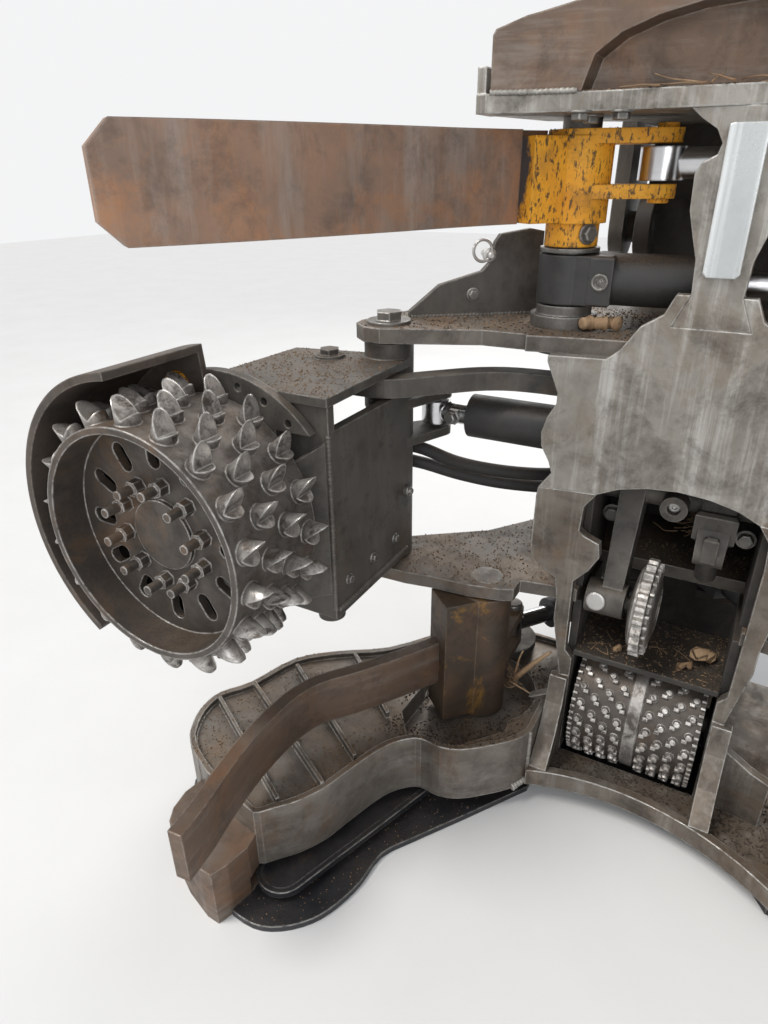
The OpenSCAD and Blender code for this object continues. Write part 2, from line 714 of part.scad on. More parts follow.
eye_x = feed_x - lever_len * cos(60);
eye_y = -feed_y + lever_len * sin(60);
module feed_barrel() {
    color(black) difference() {
        union() {
            translate([-420, eye_y, feed_cyl_z]) rotate([0, 90, 0]) cylinder(r = 44, h = 860);
            translate([430, eye_y - 22, feed_cyl_z - 22]) cube([eye_x - 430, 44, 44]);
            upright(eye_x, eye_y, feed_cyl_z - 24, feed_cyl_z + 24, 30);
        }
        translate([-421, eye_y, feed_cyl_z]) rotate([0, 90, 0]) cylinder(r = 22.4, h = 380);
        upright(eye_x, eye_y, feed_cyl_z - 30, feed_cyl_z + 30, 14.5);
    }
}

module feed_rod() {
    color(bright) difference() {
        union() {
            translate([-eye_x + 10, eye_y, feed_cyl_z]) rotate([0, 90, 0]) cylinder(r = 22, h = 400);
            upright(-eye_x, eye_y, feed_cyl_z - 24, feed_cyl_z + 24, 30);
        }
        upright(-eye_x, eye_y, feed_cyl_z - 30, feed_cyl_z + 30, 14.5);
    }
}

// Knives

module upper_boss() {
    translate([-up_pin_x, 0]) rotate(232) translate([0, -30]) square([112, 62]);
}

ear_gap = 60;
ear_t = 22;
module upper_hub(z, dz, neck) {
    difference() {
        union() {
            upright(-up_pin_x, 0, z, z + up_blade_h - 10, 56);
            if (neck > 0) upright(-up_pin_x, 0, z - neck, z + 1, 46);
            for (k = [-ear_gap / 2 - ear_t, ear_gap / 2]) translate([-up_pin_x, 0, z + dz + k]) linear_extrude(ear_t) hull() {
                circle(r = 54);
                rotate([0, 0, 12]) translate([135, 0]) circle(r = 26);
            }
            translate([0, 0, z + 2]) linear_extrude(up_blade_h - 12) upper_boss();
        }
        upright(-up_pin_x, 0, z - neck - 1, z + up_blade_h + 10, pin_r + pin_fit);
    }
    // heads of the rod's pin
    for (k = [-ear_gap / 2 - ear_t - 7, ear_gap / 2 + ear_t - 1]) translate([-up_pin_x, 0, z + dz + k])
        rotate([0, 0, 12]) translate([135, 0, 0]) cylinder(r = 17, h = 8);
}

module lower_hub(z, z0) {
    difference() {
        union() {
            upright(-low_pin_x, -low_pin_y, z0, low_deck_z - 4, 54);
            translate([0, 0, z0 + 8]) linear_extrude(low_deck_z - 14 - z0) lower_boss();
            for (k = [6, low_blade_h - 26]) translate([-low_pin_x, -low_pin_y, z + k]) linear_extrude(20) hull() {
                circle(r = 52);
                rotate([0, 0, 80]) translate([130, 0]) circle(r = 25);
            }
        }
        upright(-low_pin_x, -low_pin_y, z0 - 1, low_deck_z, pin_r + pin_fit);
    }
}

// thick root of the lower blade beside the pin
module lower_boss() {
    translate([-low_pin_x, -low_pin_y]) rotate(228) translate([0, -40]) square([108, 80]);
}

module upper_hub_left() { color(paint) upper_hub(up_left_z, left_cyl_dz, 38); }
module upper_hub_right() { color(paint) mirror([1, 0, 0]) upper_hub(up_right_z, right_cyl_dz, 0); }
module upper_blade_left() {
    color(rust) difference() {
        blade_band(up_left_z, up_blade_h, smooth(up_path, 5), blade_t) upper_hub_outline();
        tip_cut(up_left_z, up_blade_h);
    }
}
module upper_blade_right() {
    color(rust) mirror([1, 0, 0]) difference() {
        blade_band(up_right_z, up_blade_h - 10, smooth(up_path, 5), blade_t) upper_hub_outline();
        tip_cut(up_right_z, up_blade_h - 10);
    }
}
module lower_hub_left() { color(rust) lower_hub(low_left_z, saw_foot + 6); }
module lower_hub_right() { color(rust) mirror([1, 0, 0]) lower_hub(low_right_z, 86); }
module lower_blade_left() { color(rust) blade_band(low_left_z, low_blade_h, smooth(low_path, 4), blade_t - 8) lower_hub_outline(); }
module lower_blade_right() { color(rust) mirror([1, 0, 0]) blade_band(low_right_z, low_blade_h, smooth(low_path, 4), blade_t - 8) lower_hub_outline(); }

up_path = [[-290, -30], [-345, -100], [-395, -192], [-440, -298], [-490, -408], [-545, -518], [-600, -613], [-650, -690]];
low_path = [[-350, -140], [-440, -290], [-500, -380], [-545, -440], [-563, -490], [-569, -550], [-568, -620], [-558, -700], [-545, -770], [-538, -834]];

// normal of the path at point i
function pnorm(p, i) = let (a = p[max(i - 1, 0)], b = p[min(i + 1, len(p) - 1)], d = (b - a) / norm(b - a)) [d[1], -d[0]];
module blade_band(z, h, p, t) {
    n = len(p) - 1;
    translate([0, 0, z]) linear_extrude(h) difference() {
        polygon(concat(
            [for (i = [0 : n]) p[i]],
            [for (i = [n : -1 : 0]) p[i] + pnorm(p, i) * t]));
        children();
    }
}

module upper_hub_outline() {
    translate([-up_pin_x, 0]) circle(r = 56);
    upper_boss();
}

module lower_hub_outline() {
    translate([-low_pin_x, -low_pin_y]) circle(r = 54);
    lower_boss();
}

// chamfers at both corners of an upper blade's tip
module tip_cut(z, h) {
    n = len(up_path) - 1;
    d = up_path[n] - up_path[n - 1];
    for (k = [0, h]) translate([up_path[n][0], up_path[n][1], z + k]) rotate([0, 0, atan2(d[1], d[0])])
        rotate([0, 45, 0]) translate([-21, -80, -21]) cube([42, 160, 42]);
}

// Cylinders

// barrel from its pin at a towards its rod eye at b, on height z
module barrel(a, b, z, r, rr, len) {
    d = b - a;
    ang = atan2(d[1], d[0]);
    translate([a[0], a[1], z]) rotate([0, 0, ang]) difference() {
        union() {
            translate([0, 0, -r + 3]) cylinder(r = pin_r + 20, h = 2 * r - 6);
            rotate([0, 90, 0]) cylinder(r = r, h = len);
            // square shoulder of the eye
            translate([0, -pin_r - 16, -r + 3]) cube([pin_r + 22, 2 * pin_r + 32, 2 * r - 6]);
        }
        translate([0, 0, -r - 1]) cylinder(r = pin_r + pin_fit, h = 2 * r + 2);
        translate([pin_r + 24, 0, 0]) rotate([0, 90, 0]) cylinder(r = rr + 0.4, h = len);
    }
}

module rod(a, b, z, rr, er, eh, inside) {
    d = b - a;
    ang = atan2(d[1], d[0]);
    translate([a[0], a[1], z]) rotate([0, 0, ang]) {
        translate([inside, 0, 0]) rotate([0, 90, 0]) cylinder(r = rr, h = norm(d) - inside - 10);
        translate([norm(d), 0, -eh / 2]) difference() {
            cylinder(r = er, h = eh);
            translate([0, 0, -1]) cylinder(r = 14, h = eh + 2);
        }
    }
}

up_a = [up_pin_x, 0];
up_b = [-up_pin_x + 135 * cos(12), 135 * sin(12)];
low_a = [-100, 270];
low_b = [-low_pin_x + 130 * cos(80), -low_pin_y + 130 * sin(80)];

module upper_barrel_left() { color(black) barrel(up_a, up_b, up_left_z + left_cyl_dz, 44, 24, 270); }
module upper_rod_left() { color(bright) rod(up_a, up_b, up_left_z + left_cyl_dz, 24, 38, 50, 120); }
module upper_barrel_right() { color(black) mirror([1, 0, 0]) barrel(up_a, up_b, up_right_z + right_cyl_dz, 44, 24, 270); }
module upper_rod_right() { color(bright) mirror([1, 0, 0]) rod(up_a, up_b, up_right_z + right_cyl_dz, 24, 38, 50, 120); }
module lower_barrel_left() { color(black) barrel(low_a, low_b, low_left_z + 52, 36, 20, 240); }
module lower_rod_left() { color(bright) rod(low_a, low_b, low_left_z + 52, 20, 25, 44, 120); }
module lower_barrel_right() { color(black) mirror([1, 0, 0]) barrel(low_a, low_b, low_right_z + 52, 36, 20, 240); }
module lower_rod_right() { color(bright) mirror([1, 0, 0]) rod(low_a, low_b, low_right_z + 52, 20, 25, 44, 120); }

// Tilt frame and rotator

tilt_arm_l = 127;
module tilt_frame() {
    color(dark) difference() {
        union() {
            for (s = [-1, 1]) {
                translate([s * 235 - 14, 0, 0]) rotate([90, 0, 90]) linear_extrude(28) hull() {
                    translate([tilt_y, tilt_z]) circle(r = 60);
                    translate([250, rotor_z - 150]) square([160, 40]);
                    translate([tilt_y + tilt_arm_l, tilt_z + tilt_arm_l]) circle(r = 36);
                }
            }
            translate([-249, 250, rotor_z - 150]) cube([498, 160, 40]);
            for (x = [-230, 32]) translate([x, tilt_y + tilt_arm_l, tilt_z + tilt_arm_l]) rotate([0, 90, 0]) cylinder(r = 26, h = 198);
            for (x = [-52, 32]) translate([x, 0, 0]) rotate([90, 0, 90]) linear_extrude(20) hull() {
                translate([tilt_y + tilt_arm_l, tilt_z + tilt_arm_l]) circle(r = 40);
                translate([300, rotor_z - 160]) square([90, 20]);
            }
        }
        translate([-260, tilt_y, tilt_z]) rotate([0, 90, 0]) cylinder(r = 30.5, h = 520);
    }
}

module rotator() {
    color(dark) difference() {
        translate([0, 320, rotor_z - 110]) cylinder(r = 95, h = 70);
        translate([0, 320, rotor_z - 70]) cylinder(r = 50.5, h = 40);
    }
}

module rotor() {
    color(steel) difference() {
        union() {
            translate([0, 320, rotor_z - 69]) cylinder(r = 50, h = 60);
            translate([0, 320, rotor_z - 22]) cylinder(r = 110, h = 22);
        }
        for (i = [0 : 5]) translate([0, 320, rotor_z - 23])
            rotate([0, 0, i * 60]) translate([rotor_pcd / 2, 0, 0]) cylinder(r = 8.5, h = 24);
    }
}

module tilt_barrel() {
    color(black) difference() {
        union() {
            translate([0, tilt_back, tilt_low_z + 52]) cylinder(r = 45, h = 348);
            translate([0, tilt_back, tilt_low_z]) cylinder(r = 25, h = 60);
            translate([-26, tilt_back, tilt_low_z]) rotate([0, 90, 0]) cylinder(r = 38, h = 52);
            translate([-62, tilt_back, tilt_low_z]) rotate([0, 90, 0]) cylinder(r = 20, h = 124);
        }
        translate([0, tilt_back, tilt_low_z + 80]) cylinder(r = 26.4, h = 400);
    }
}

module tilt_rod() {
    color(bright) {
        translate([0, tilt_back, tilt_low_z + 350]) cylinder(r = 26, h = tilt_z + tilt_arm_l - 30 - tilt_low_z - 350);
        translate([-26, tilt_back, tilt_z + tilt_arm_l]) rotate([0, 90, 0]) difference() {
            cylinder(r = 40, h = 52);
            translate([0, 0, -1]) cylinder(r = 20, h = 54);
        }
    }
}

wear_plate();
wear_column();
wear_insert();
wear_side_left();
wear_side_right();
base_plate();
lip_plate();
saw_floor();
saw_housing();
nose_block();
lower_deck();
upper_deck();
top_band();
top_knife();
spine();
webs();
brackets();
roller_mounts();
measuring_mounts();
upper_pins();
deck_pins();
gusset();
saw_motor();
saw_bar();
saw_chain();
inner_roller();
measuring_arm();
measuring_wheel();
feed_arm_left();
feed_motor_left();
feed_guard_left();
feed_roller_left();
feed_arm_right();
feed_motor_right();
feed_guard_right();
feed_roller_right();
tie_bar();
feed_barrel();
feed_rod();
upper_hub_left();
upper_blade_left();
upper_hub_right();
upper_blade_right();
lower_hub_left();
lower_blade_left();
lower_hub_right();
lower_blade_right();
upper_barrel_left();
upper_rod_left();
upper_barrel_right();
upper_rod_right();
lower_barrel_left();
lower_rod_left();
lower_barrel_right();
lower_rod_right();
tilt_frame();
rotator();
rotor();
tilt_barrel();
tilt_rod();
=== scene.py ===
# Tree harvester head on a plain studio floor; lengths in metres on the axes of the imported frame
import math
import random

import bpy
import mathutils
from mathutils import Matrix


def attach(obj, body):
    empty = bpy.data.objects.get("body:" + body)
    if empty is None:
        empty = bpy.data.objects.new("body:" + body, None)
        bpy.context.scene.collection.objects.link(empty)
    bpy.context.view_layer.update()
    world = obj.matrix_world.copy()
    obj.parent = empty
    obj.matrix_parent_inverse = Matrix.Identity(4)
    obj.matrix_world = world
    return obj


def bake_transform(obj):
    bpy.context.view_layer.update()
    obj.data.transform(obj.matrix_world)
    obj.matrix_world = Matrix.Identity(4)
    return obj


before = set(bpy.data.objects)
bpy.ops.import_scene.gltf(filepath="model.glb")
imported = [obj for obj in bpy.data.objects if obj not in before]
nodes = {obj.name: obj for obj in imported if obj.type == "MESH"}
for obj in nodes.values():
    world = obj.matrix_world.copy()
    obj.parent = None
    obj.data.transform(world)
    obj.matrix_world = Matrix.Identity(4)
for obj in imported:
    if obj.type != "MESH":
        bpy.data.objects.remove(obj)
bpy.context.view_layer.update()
Vector = mathutils.Vector

# Camera, solved from the paving stones of the photograph
EYE = (0.084, -1.305, 1.225)
YAW = math.radians(29.3)
PITCH = math.radians(-26.28)
ROLL = math.radians(-0.588)
LENS_MM = 24.16

# Centres and surfaces that several pieces share
MEASURING_WHEEL = (-0.022, -0.075, 0.455)
INNER_ROLLER = (0.0, 0.0, 0.167)
FEED_ROLLER = (0.712, -0.6, 0.7)
ARM_SIDE_X = 0.5125
CUT_KNIFE_Z = 1.331
WITHOUT_X = (0.0, 1.0, 1.0)
WITHOUT_Y = (1.0, 0.0, 1.0)
SIDES = (("left", -1), ("right", 1))


def make_camera():
    data = bpy.data.cameras.new("view")
    cam = bpy.data.objects.new("view", data)
    bpy.context.scene.collection.objects.link(cam)
    data.lens = LENS_MM
    data.sensor_width = 36.0
    data.sensor_fit = "AUTO"
    data.clip_start = 0.05
    flat = math.cos(PITCH)
    look = Vector((-math.sin(YAW) * flat, math.cos(YAW) * flat, math.sin(PITCH)))
    quat = look.to_track_quat("-Z", "Y")
    spin = mathutils.Quaternion((0.0, 0.0, 1.0), ROLL)
    cam.rotation_mode = "QUATERNION"
    cam.rotation_quaternion = quat @ spin
    cam.location = EYE
    bpy.context.scene.camera = cam


make_camera()


# Shader nodes of one material; place is the object's own coordinate
class Tree:
    def __init__(self, name):
        self.material = bpy.data.materials.new(name)
        self.material.use_nodes = True
        self.nodes = self.material.node_tree.nodes
        self.links = self.material.node_tree.links
        self.nodes.clear()
        self.out = self.nodes.new("ShaderNodeOutputMaterial")
        self.shader = self.nodes.new("ShaderNodeBsdfPrincipled")
        self.links.new(self.shader.outputs["BSDF"], self.out.inputs["Surface"])
        self.place = self.nodes.new("ShaderNodeTexCoord").outputs["Object"]

    def put(self, value, socket):
        if isinstance(value, bpy.types.NodeSocket):
            self.links.new(value, socket)
        else:
            socket.default_value = value

    def stretch(self, scale):
        node = self.nodes.new("ShaderNodeMapping")
        node.inputs["Scale"].default_value = scale
        self.links.new(self.place, node.inputs["Vector"])
        return node.outputs["Vector"]

    def noise(self, scale, detail=6.0, rough=0.6, twist=0.0, where=None):
        node = self.nodes.new("ShaderNodeTexNoise")
        node.inputs["Scale"].default_value = scale
        node.inputs["Detail"].default_value = detail
        node.inputs["Roughness"].default_value = rough
        node.inputs["Distortion"].default_value = twist
        self.links.new(where if where else self.place, node.inputs["Vector"])
        return node.outputs["Fac"]

    def cells(self, scale):
        node = self.nodes.new("ShaderNodeTexVoronoi")
        node.inputs["Scale"].default_value = scale
        self.links.new(self.place, node.inputs["Vector"])
        return node.outputs["Distance"]

    def ramp(self, value, low, high):
        node = self.nodes.new("ShaderNodeMapRange")
        node.inputs["From Min"].default_value = low
        node.inputs["From Max"].default_value = high
        node.clamp = True
        self.links.new(value, node.inputs["Value"])
        return node.outputs["Result"]

    def math(self, kind, a, b):
        node = self.nodes.new("ShaderNodeMath")
        node.operation = kind
        node.use_clamp = True
        self.put(a, node.inputs[0])
        self.put(b, node.inputs[1])
        return node.outputs[0]

    def times(self, a, b):
        return self.math("MULTIPLY", a, b)

    def plus(self, a, b):
        return self.math("ADD", a, b)

    def minus(self, a, b):
        return self.math("SUBTRACT", a, b)

    def blend(self, share, first, second):
        node = self.nodes.new("ShaderNodeMix")
        node.data_type = "RGBA"
        self.put(share, node.inputs["Factor"])
        for value, socket in ((first, node.inputs[6]), (second, node.inputs[7])):
            if isinstance(value, bpy.types.NodeSocket):
                self.links.new(value, socket)
            else:
                socket.default_value = (*value, 1.0)
        return node.outputs[2]

    # where the surface turns sharply, and the normal with its edges rounded
    def edges(self):
        node = self.nodes.new("ShaderNodeBevel")
        node.samples = 4
        node.inputs["Radius"].default_value = 0.004
        geo = self.nodes.new("ShaderNodeNewGeometry")
        dot = self.nodes.new("ShaderNodeVectorMath")
        dot.operation = "DOT_PRODUCT"
        self.links.new(node.outputs["Normal"], dot.inputs[0])
        self.links.new(geo.outputs["Normal"], dot.inputs[1])
        return self.ramp(dot.outputs["Value"], 0.999, 0.93), node.outputs["Normal"]

    # distance from a point of the frame; axes whose factor is 0 don't count
    def away_from(self, node, point, factors):
        centre = node.matrix_world.inverted() @ Vector(point)
        shift = self.nodes.new("ShaderNodeVectorMath")
        shift.operation = "SUBTRACT"
        self.links.new(self.place, shift.inputs[0])
        shift.inputs[1].default_value = centre
        flat = self.nodes.new("ShaderNodeVectorMath")
        flat.operation = "MULTIPLY"
        self.links.new(shift.outputs[0], flat.inputs[0])
        flat.inputs[1].default_value = factors
        size = self.nodes.new("ShaderNodeVectorMath")
        size.operation = "LENGTH"
        self.links.new(flat.outputs[0], size.inputs[0])
        return size.outputs["Value"]

    def facing_up(self):
        geo = self.nodes.new("ShaderNodeNewGeometry")
        split = self.nodes.new("ShaderNodeSeparateXYZ")
        self.links.new(geo.outputs["Normal"], split.inputs["Vector"])
        return self.ramp(split.outputs["Z"], 0.5, 0.9)

    def bump(self, height, strength, distance, normal=None):
        node = self.nodes.new("ShaderNodeBump")
        node.inputs["Strength"].default_value = strength
        node.inputs["Distance"].default_value = distance
        self.links.new(height, node.inputs["Height"])
        if normal is not None:
            self.links.new(normal, node.inputs["Normal"])
        return node.outputs["Normal"]


# One worn surface. Colours: base and second are mottled, streak runs along the scale in along,
# edge is bare metal, rust and grime lie in patches. The other values are amounts from 0 to 1.
# patch_at is node, point, factors, size and colour of one stain; shine is node, point, factors,
# the two radii between which the bare metal fades in, and its colour.
def worn_steel(name, base, second, streak, edge, rust, grime, metallic, rough,
               along=(1.0, 1.0, 1.0), streaks=0.5, rusty=0.3, dirty=0.4, dust=0.0, pits=0.0,
               wear=0.7, grain=0.4, speckle=0.0, shine=None, patch_at=None):
    t = Tree(name)
    mottle = t.ramp(t.noise(9.0, 8.0, 0.65, 0.4), 0.35, 0.68)
    colour = t.blend(mottle, base, second)
    lines = t.noise(1.0, 5.0, 0.7, 0.0, t.stretch(along))
    colour = t.blend(t.times(t.ramp(lines, 0.48, 0.70), streaks), colour, streak)
    rust_mask = t.ramp(t.noise(5.0, 9.0, 0.72, 0.8), 0.62 - 0.22 * rusty, 0.78 - 0.16 * rusty)
    colour = t.blend(t.times(rust_mask, min(1.0, 0.35 + rusty)), colour, rust)
    edge_mask, round_normal = t.edges()
    ragged = t.ramp(t.noise(60.0, 4.0, 0.7), 0.32, 0.58)
    edge_mask = t.times(t.times(edge_mask, ragged), wear)
    soil = t.ramp(t.noise(13.0, 9.0, 0.75, 0.3), 0.60 - 0.22 * dirty, 0.86 - 0.2 * dirty)
    soil = t.times(soil, min(1.0, 0.3 + dirty))
    colour = t.blend(soil, colour, grime)
    colour = t.blend(edge_mask, colour, edge)
    if speckle > 0.0:
        runs = t.noise(150.0, 5.0, 0.7, 0.2, t.stretch((1.0, 1.0, 0.45)))
        spots = t.ramp(runs, 0.60 - 0.12 * speckle, 0.66 - 0.12 * speckle)
        colour = t.blend(t.times(spots, 0.9), colour, grime)
    if patch_at is not None:
        node, point, factors, size, tint = patch_at
        rim = t.times(t.noise(40.0, 6.0, 0.7), size)
        reach = t.plus(t.away_from(node, point, factors), rim)
        colour = t.blend(t.ramp(reach, size * 1.45, size * 1.30), colour, tint)
    bright = 0.0
    if shine is not None:
        node, point, factors, low, high, tint = shine
        scuffed = t.ramp(t.noise(34.0, 6.0, 0.75, 0.5), 0.38, 0.58)
        bright = t.times(t.ramp(t.away_from(node, point, factors), low, high), scuffed)
        colour = t.blend(bright, colour, tint)
    if dust > 0.0:
        chips = t.ramp(t.noise(620.0, 3.0, 0.6), 0.53 - 0.1 * dust, 0.62 - 0.08 * dust)
        lay = t.ramp(t.noise(7.0, 5.0, 0.6), 0.40, 0.62)
        settled = t.times(t.times(chips, lay), t.facing_up())
        tones = t.ramp(t.noise(900.0, 2.0), 0.35, 0.65)
        grains = t.blend(tones, (0.16, 0.095, 0.050), (0.40, 0.27, 0.16))
        colour = t.blend(t.times(settled, dust), colour, grains)
    t.put(colour, t.shader.inputs["Base Color"])
    t.put(t.plus(t.times(bright, 0.4), metallic), t.shader.inputs["Metallic"])
    rough_map = t.plus(t.plus(t.times(soil, 0.25), t.times(mottle, 0.18)), rough)
    rough_map = t.minus(rough_map, t.times(bright, 0.16))
    t.put(t.minus(rough_map, t.times(edge_mask, 0.12)), t.shader.inputs["Roughness"])
    height = t.plus(t.times(t.noise(150.0, 6.0, 0.7), 0.5), t.times(lines, 0.4 * streaks))
    if pits > 0.0:
        dents = t.ramp(t.cells(85.0), 0.05, 0.35)
        height = t.plus(t.times(height, 1.0 - 0.5 * pits), t.times(dents, 0.5 * pits))
    t.put(t.bump(height, grain, 0.0015, round_normal), t.shader.inputs["Normal"])
    return t.material


# Finishes
plate = worn_steel(
    "plate", base=(0.310, 0.292, 0.260), second=(0.180, 0.162, 0.136),
    streak=(0.520, 0.505, 0.475), edge=(0.68, 0.67, 0.64), rust=(0.165, 0.110, 0.066),
    grime=(0.060, 0.048, 0.037), metallic=0.50, rough=0.38, along=(34.0, 34.0, 1.5), streaks=0.90,
    rusty=0.36, dirty=0.62, wear=0.90)
brown_plate = worn_steel(
    "brown_plate", base=(0.185, 0.162, 0.136), second=(0.105, 0.088, 0.072),
    streak=(0.300, 0.280, 0.250), edge=(0.66, 0.65, 0.62), rust=(0.150, 0.092, 0.052),
    grime=(0.036, 0.028, 0.022), metallic=0.50, rough=0.36, along=(30.0, 30.0, 2.0), streaks=0.75,
    rusty=0.42, dirty=0.60, dust=0.50, wear=1.0)
strip = worn_steel(
    "strip", base=(0.60, 0.62, 0.62), second=(0.46, 0.48, 0.48), streak=(0.80, 0.82, 0.82),
    edge=(0.80, 0.80, 0.78), rust=(0.36, 0.27, 0.18), grime=(0.20, 0.19, 0.17), metallic=0.85,
    rough=0.22, along=(70.0, 70.0, 1.2), streaks=0.9, rusty=0.05, dirty=0.15, wear=0.6, grain=0.25)
dark = worn_steel(
    "dark", base=(0.062, 0.056, 0.050), second=(0.115, 0.103, 0.090), streak=(0.17, 0.155, 0.135),
    edge=(0.34, 0.32, 0.29), rust=(0.15, 0.090, 0.052), grime=(0.016, 0.014, 0.012), metallic=0.30,
    rough=0.48, along=(14.0, 14.0, 3.0), streaks=0.4, rusty=0.32, dirty=0.5, dust=0.45, wear=0.75)
murky = worn_steel(
    "murky", base=(0.030, 0.027, 0.025), second=(0.055, 0.048, 0.042),
    streak=(0.080, 0.072, 0.063), edge=(0.16, 0.15, 0.13), rust=(0.085, 0.052, 0.032),
    grime=(0.010, 0.009, 0.008), metallic=0.20, rough=0.55, along=(14.0, 14.0, 3.0), streaks=0.3,
    rusty=0.3, dirty=0.5, dust=0.4, wear=0.5)
tread = worn_steel(
    "tread", base=(0.098, 0.083, 0.069), second=(0.170, 0.150, 0.128),
    streak=(0.225, 0.205, 0.180), edge=(0.48, 0.46, 0.43), rust=(0.150, 0.092, 0.054),
    grime=(0.034, 0.028, 0.023), metallic=0.30, rough=0.46, along=(10.0, 10.0, 10.0), streaks=0.25,
    rusty=0.40, dirty=0.58, dust=0.75, wear=0.95)
walls = worn_steel(
    "walls", base=(0.205, 0.182, 0.158), second=(0.125, 0.106, 0.089),
    streak=(0.320, 0.298, 0.268), edge=(0.66, 0.64, 0.60), rust=(0.165, 0.098, 0.056),
    grime=(0.044, 0.036, 0.029), metallic=0.50, rough=0.34, along=(5.0, 5.0, 26.0), streaks=0.55,
    rusty=0.40, dirty=0.52, dust=0.70, wear=1.0)
slick = worn_steel(
    "slick", base=(0.028, 0.030, 0.036), second=(0.050, 0.050, 0.055), streak=(0.10, 0.085, 0.075),
    edge=(0.42, 0.41, 0.38), rust=(0.13, 0.085, 0.055), grime=(0.015, 0.014, 0.013), metallic=0.55,
    rough=0.30, along=(6.0, 6.0, 6.0), streaks=0.35, rusty=0.25, dirty=0.35, dust=0.25, wear=0.9)
rusty = worn_steel(
    "rusty", base=(0.175, 0.113, 0.077), second=(0.108, 0.080, 0.062),
    streak=(0.250, 0.218, 0.190), edge=(0.40, 0.35, 0.30), rust=(0.230, 0.118, 0.060),
    grime=(0.046, 0.037, 0.031), metallic=0.45, rough=0.40, along=(4.0, 4.0, 40.0), streaks=0.6,
    rusty=0.45, dirty=0.48, wear=0.8, pits=0.3)
orange = worn_steel(
    "orange", base=(0.315, 0.185, 0.120), second=(0.205, 0.142, 0.108),
    streak=(0.350, 0.300, 0.262), edge=(0.50, 0.42, 0.36), rust=(0.400, 0.190, 0.088),
    grime=(0.085, 0.068, 0.060), metallic=0.30, rough=0.48, along=(16.0, 16.0, 2.2), streaks=0.70,
    rusty=0.62, dirty=0.46, wear=0.6, pits=0.3)
sooty = worn_steel(
    "sooty", base=(0.060, 0.050, 0.043), second=(0.105, 0.082, 0.066), streak=(0.16, 0.13, 0.105),
    edge=(0.30, 0.26, 0.22), rust=(0.175, 0.100, 0.058), grime=(0.018, 0.015, 0.013),
    metallic=0.25, rough=0.50, along=(5.0, 5.0, 5.0), streaks=0.3, rusty=0.4, dirty=0.5, dust=0.3,
    wear=0.9)
yellow = worn_steel(
    "yellow", base=(0.86, 0.40, 0.018), second=(0.74, 0.30, 0.014), streak=(0.90, 0.48, 0.05),
    edge=(0.70, 0.34, 0.04), rust=(0.26, 0.12, 0.03), grime=(0.055, 0.034, 0.018), metallic=0.0,
    rough=0.50, along=(12.0, 12.0, 12.0), streaks=0.3, rusty=0.25, dirty=0.48, wear=0.35, pits=0.6,
    grain=0.7, speckle=0.55,
    patch_at=(nodes["upper_hub_left"], (-0.345, -0.075, 1.222), (1.0, 1.0, 0.62), 0.046,
              (0.050, 0.048, 0.050)))
flaked = worn_steel(
    "flaked", base=(0.052, 0.038, 0.028), second=(0.110, 0.066, 0.038),
    streak=(0.170, 0.108, 0.060), edge=(0.26, 0.20, 0.15), rust=(0.640, 0.310, 0.026),
    grime=(0.018, 0.014, 0.012), metallic=0.15, rough=0.50, along=(9.0, 9.0, 2.0), streaks=0.5,
    rusty=0.30, dirty=0.50, dust=0.3, wear=0.6, pits=0.5)


# roller: its surface gets bright from the radius low to the radius high
def roller_finish(name, node, centre, factors, low, high):
    return worn_steel(
        name, base=(0.094, 0.078, 0.066), second=(0.050, 0.042, 0.036),
        streak=(0.165, 0.145, 0.125), edge=(0.62, 0.60, 0.57), rust=(0.20, 0.115, 0.062),
        grime=(0.030, 0.025, 0.022), metallic=0.40, rough=0.42, along=(9.0, 9.0, 9.0), streaks=0.4,
        rusty=0.40, dirty=0.45, dust=0.5, wear=0.95, pits=0.5, grain=0.6,
        shine=(nodes[node], centre, factors, low, high, (0.60, 0.575, 0.545)))


feed_left = (-FEED_ROLLER[0], *FEED_ROLLER[1:])
left_roller = roller_finish("left_roller", "feed_roller_left", feed_left, WITHOUT_Y, 0.196, 0.226)
right_roller = roller_finish("right_roller", "feed_roller_right", FEED_ROLLER, WITHOUT_Y, 0.196, 0.226)
drum = roller_finish("drum", "inner_roller", INNER_ROLLER, WITHOUT_X, 0.136, 0.143)
counter = roller_finish("counter", "measuring_wheel", MEASURING_WHEEL, WITHOUT_X, 0.060, 0.096)

bare = worn_steel(
    "bare", base=(0.20, 0.19, 0.175), second=(0.12, 0.11, 0.10), streak=(0.34, 0.33, 0.31),
    edge=(0.50, 0.49, 0.46), rust=(0.17, 0.10, 0.055), grime=(0.03, 0.027, 0.024), metallic=0.70,
    rough=0.36, along=(20.0, 20.0, 5.0), streaks=0.4, rusty=0.25, dirty=0.4, dust=0.3, wear=0.8)
black = worn_steel(
    "black", base=(0.026, 0.026, 0.027), second=(0.050, 0.047, 0.044),
    streak=(0.080, 0.076, 0.070), edge=(0.17, 0.16, 0.15), rust=(0.095, 0.068, 0.045),
    grime=(0.012, 0.011, 0.010), metallic=0.15, rough=0.42, along=(8.0, 8.0, 8.0), streaks=0.3,
    rusty=0.15, dirty=0.4, dust=0.55, wear=0.6)
chrome = worn_steel(
    "chrome", base=(0.60, 0.60, 0.61), second=(0.50, 0.50, 0.51), streak=(0.72, 0.72, 0.73),
    edge=(0.70, 0.70, 0.70), rust=(0.28, 0.22, 0.16), grime=(0.14, 0.13, 0.12), metallic=1.0,
    rough=0.12, along=(4.0, 60.0, 60.0), streaks=0.4, rusty=0.03, dirty=0.22, wear=0.2, grain=0.1)
zinc = worn_steel(
    "zinc", base=(0.52, 0.51, 0.49), second=(0.40, 0.39, 0.37), streak=(0.62, 0.61, 0.60),
    edge=(0.74, 0.73, 0.71), rust=(0.30, 0.20, 0.12), grime=(0.12, 0.105, 0.09), metallic=0.75,
    rough=0.34, streaks=0.3, rusty=0.12, dirty=0.3)
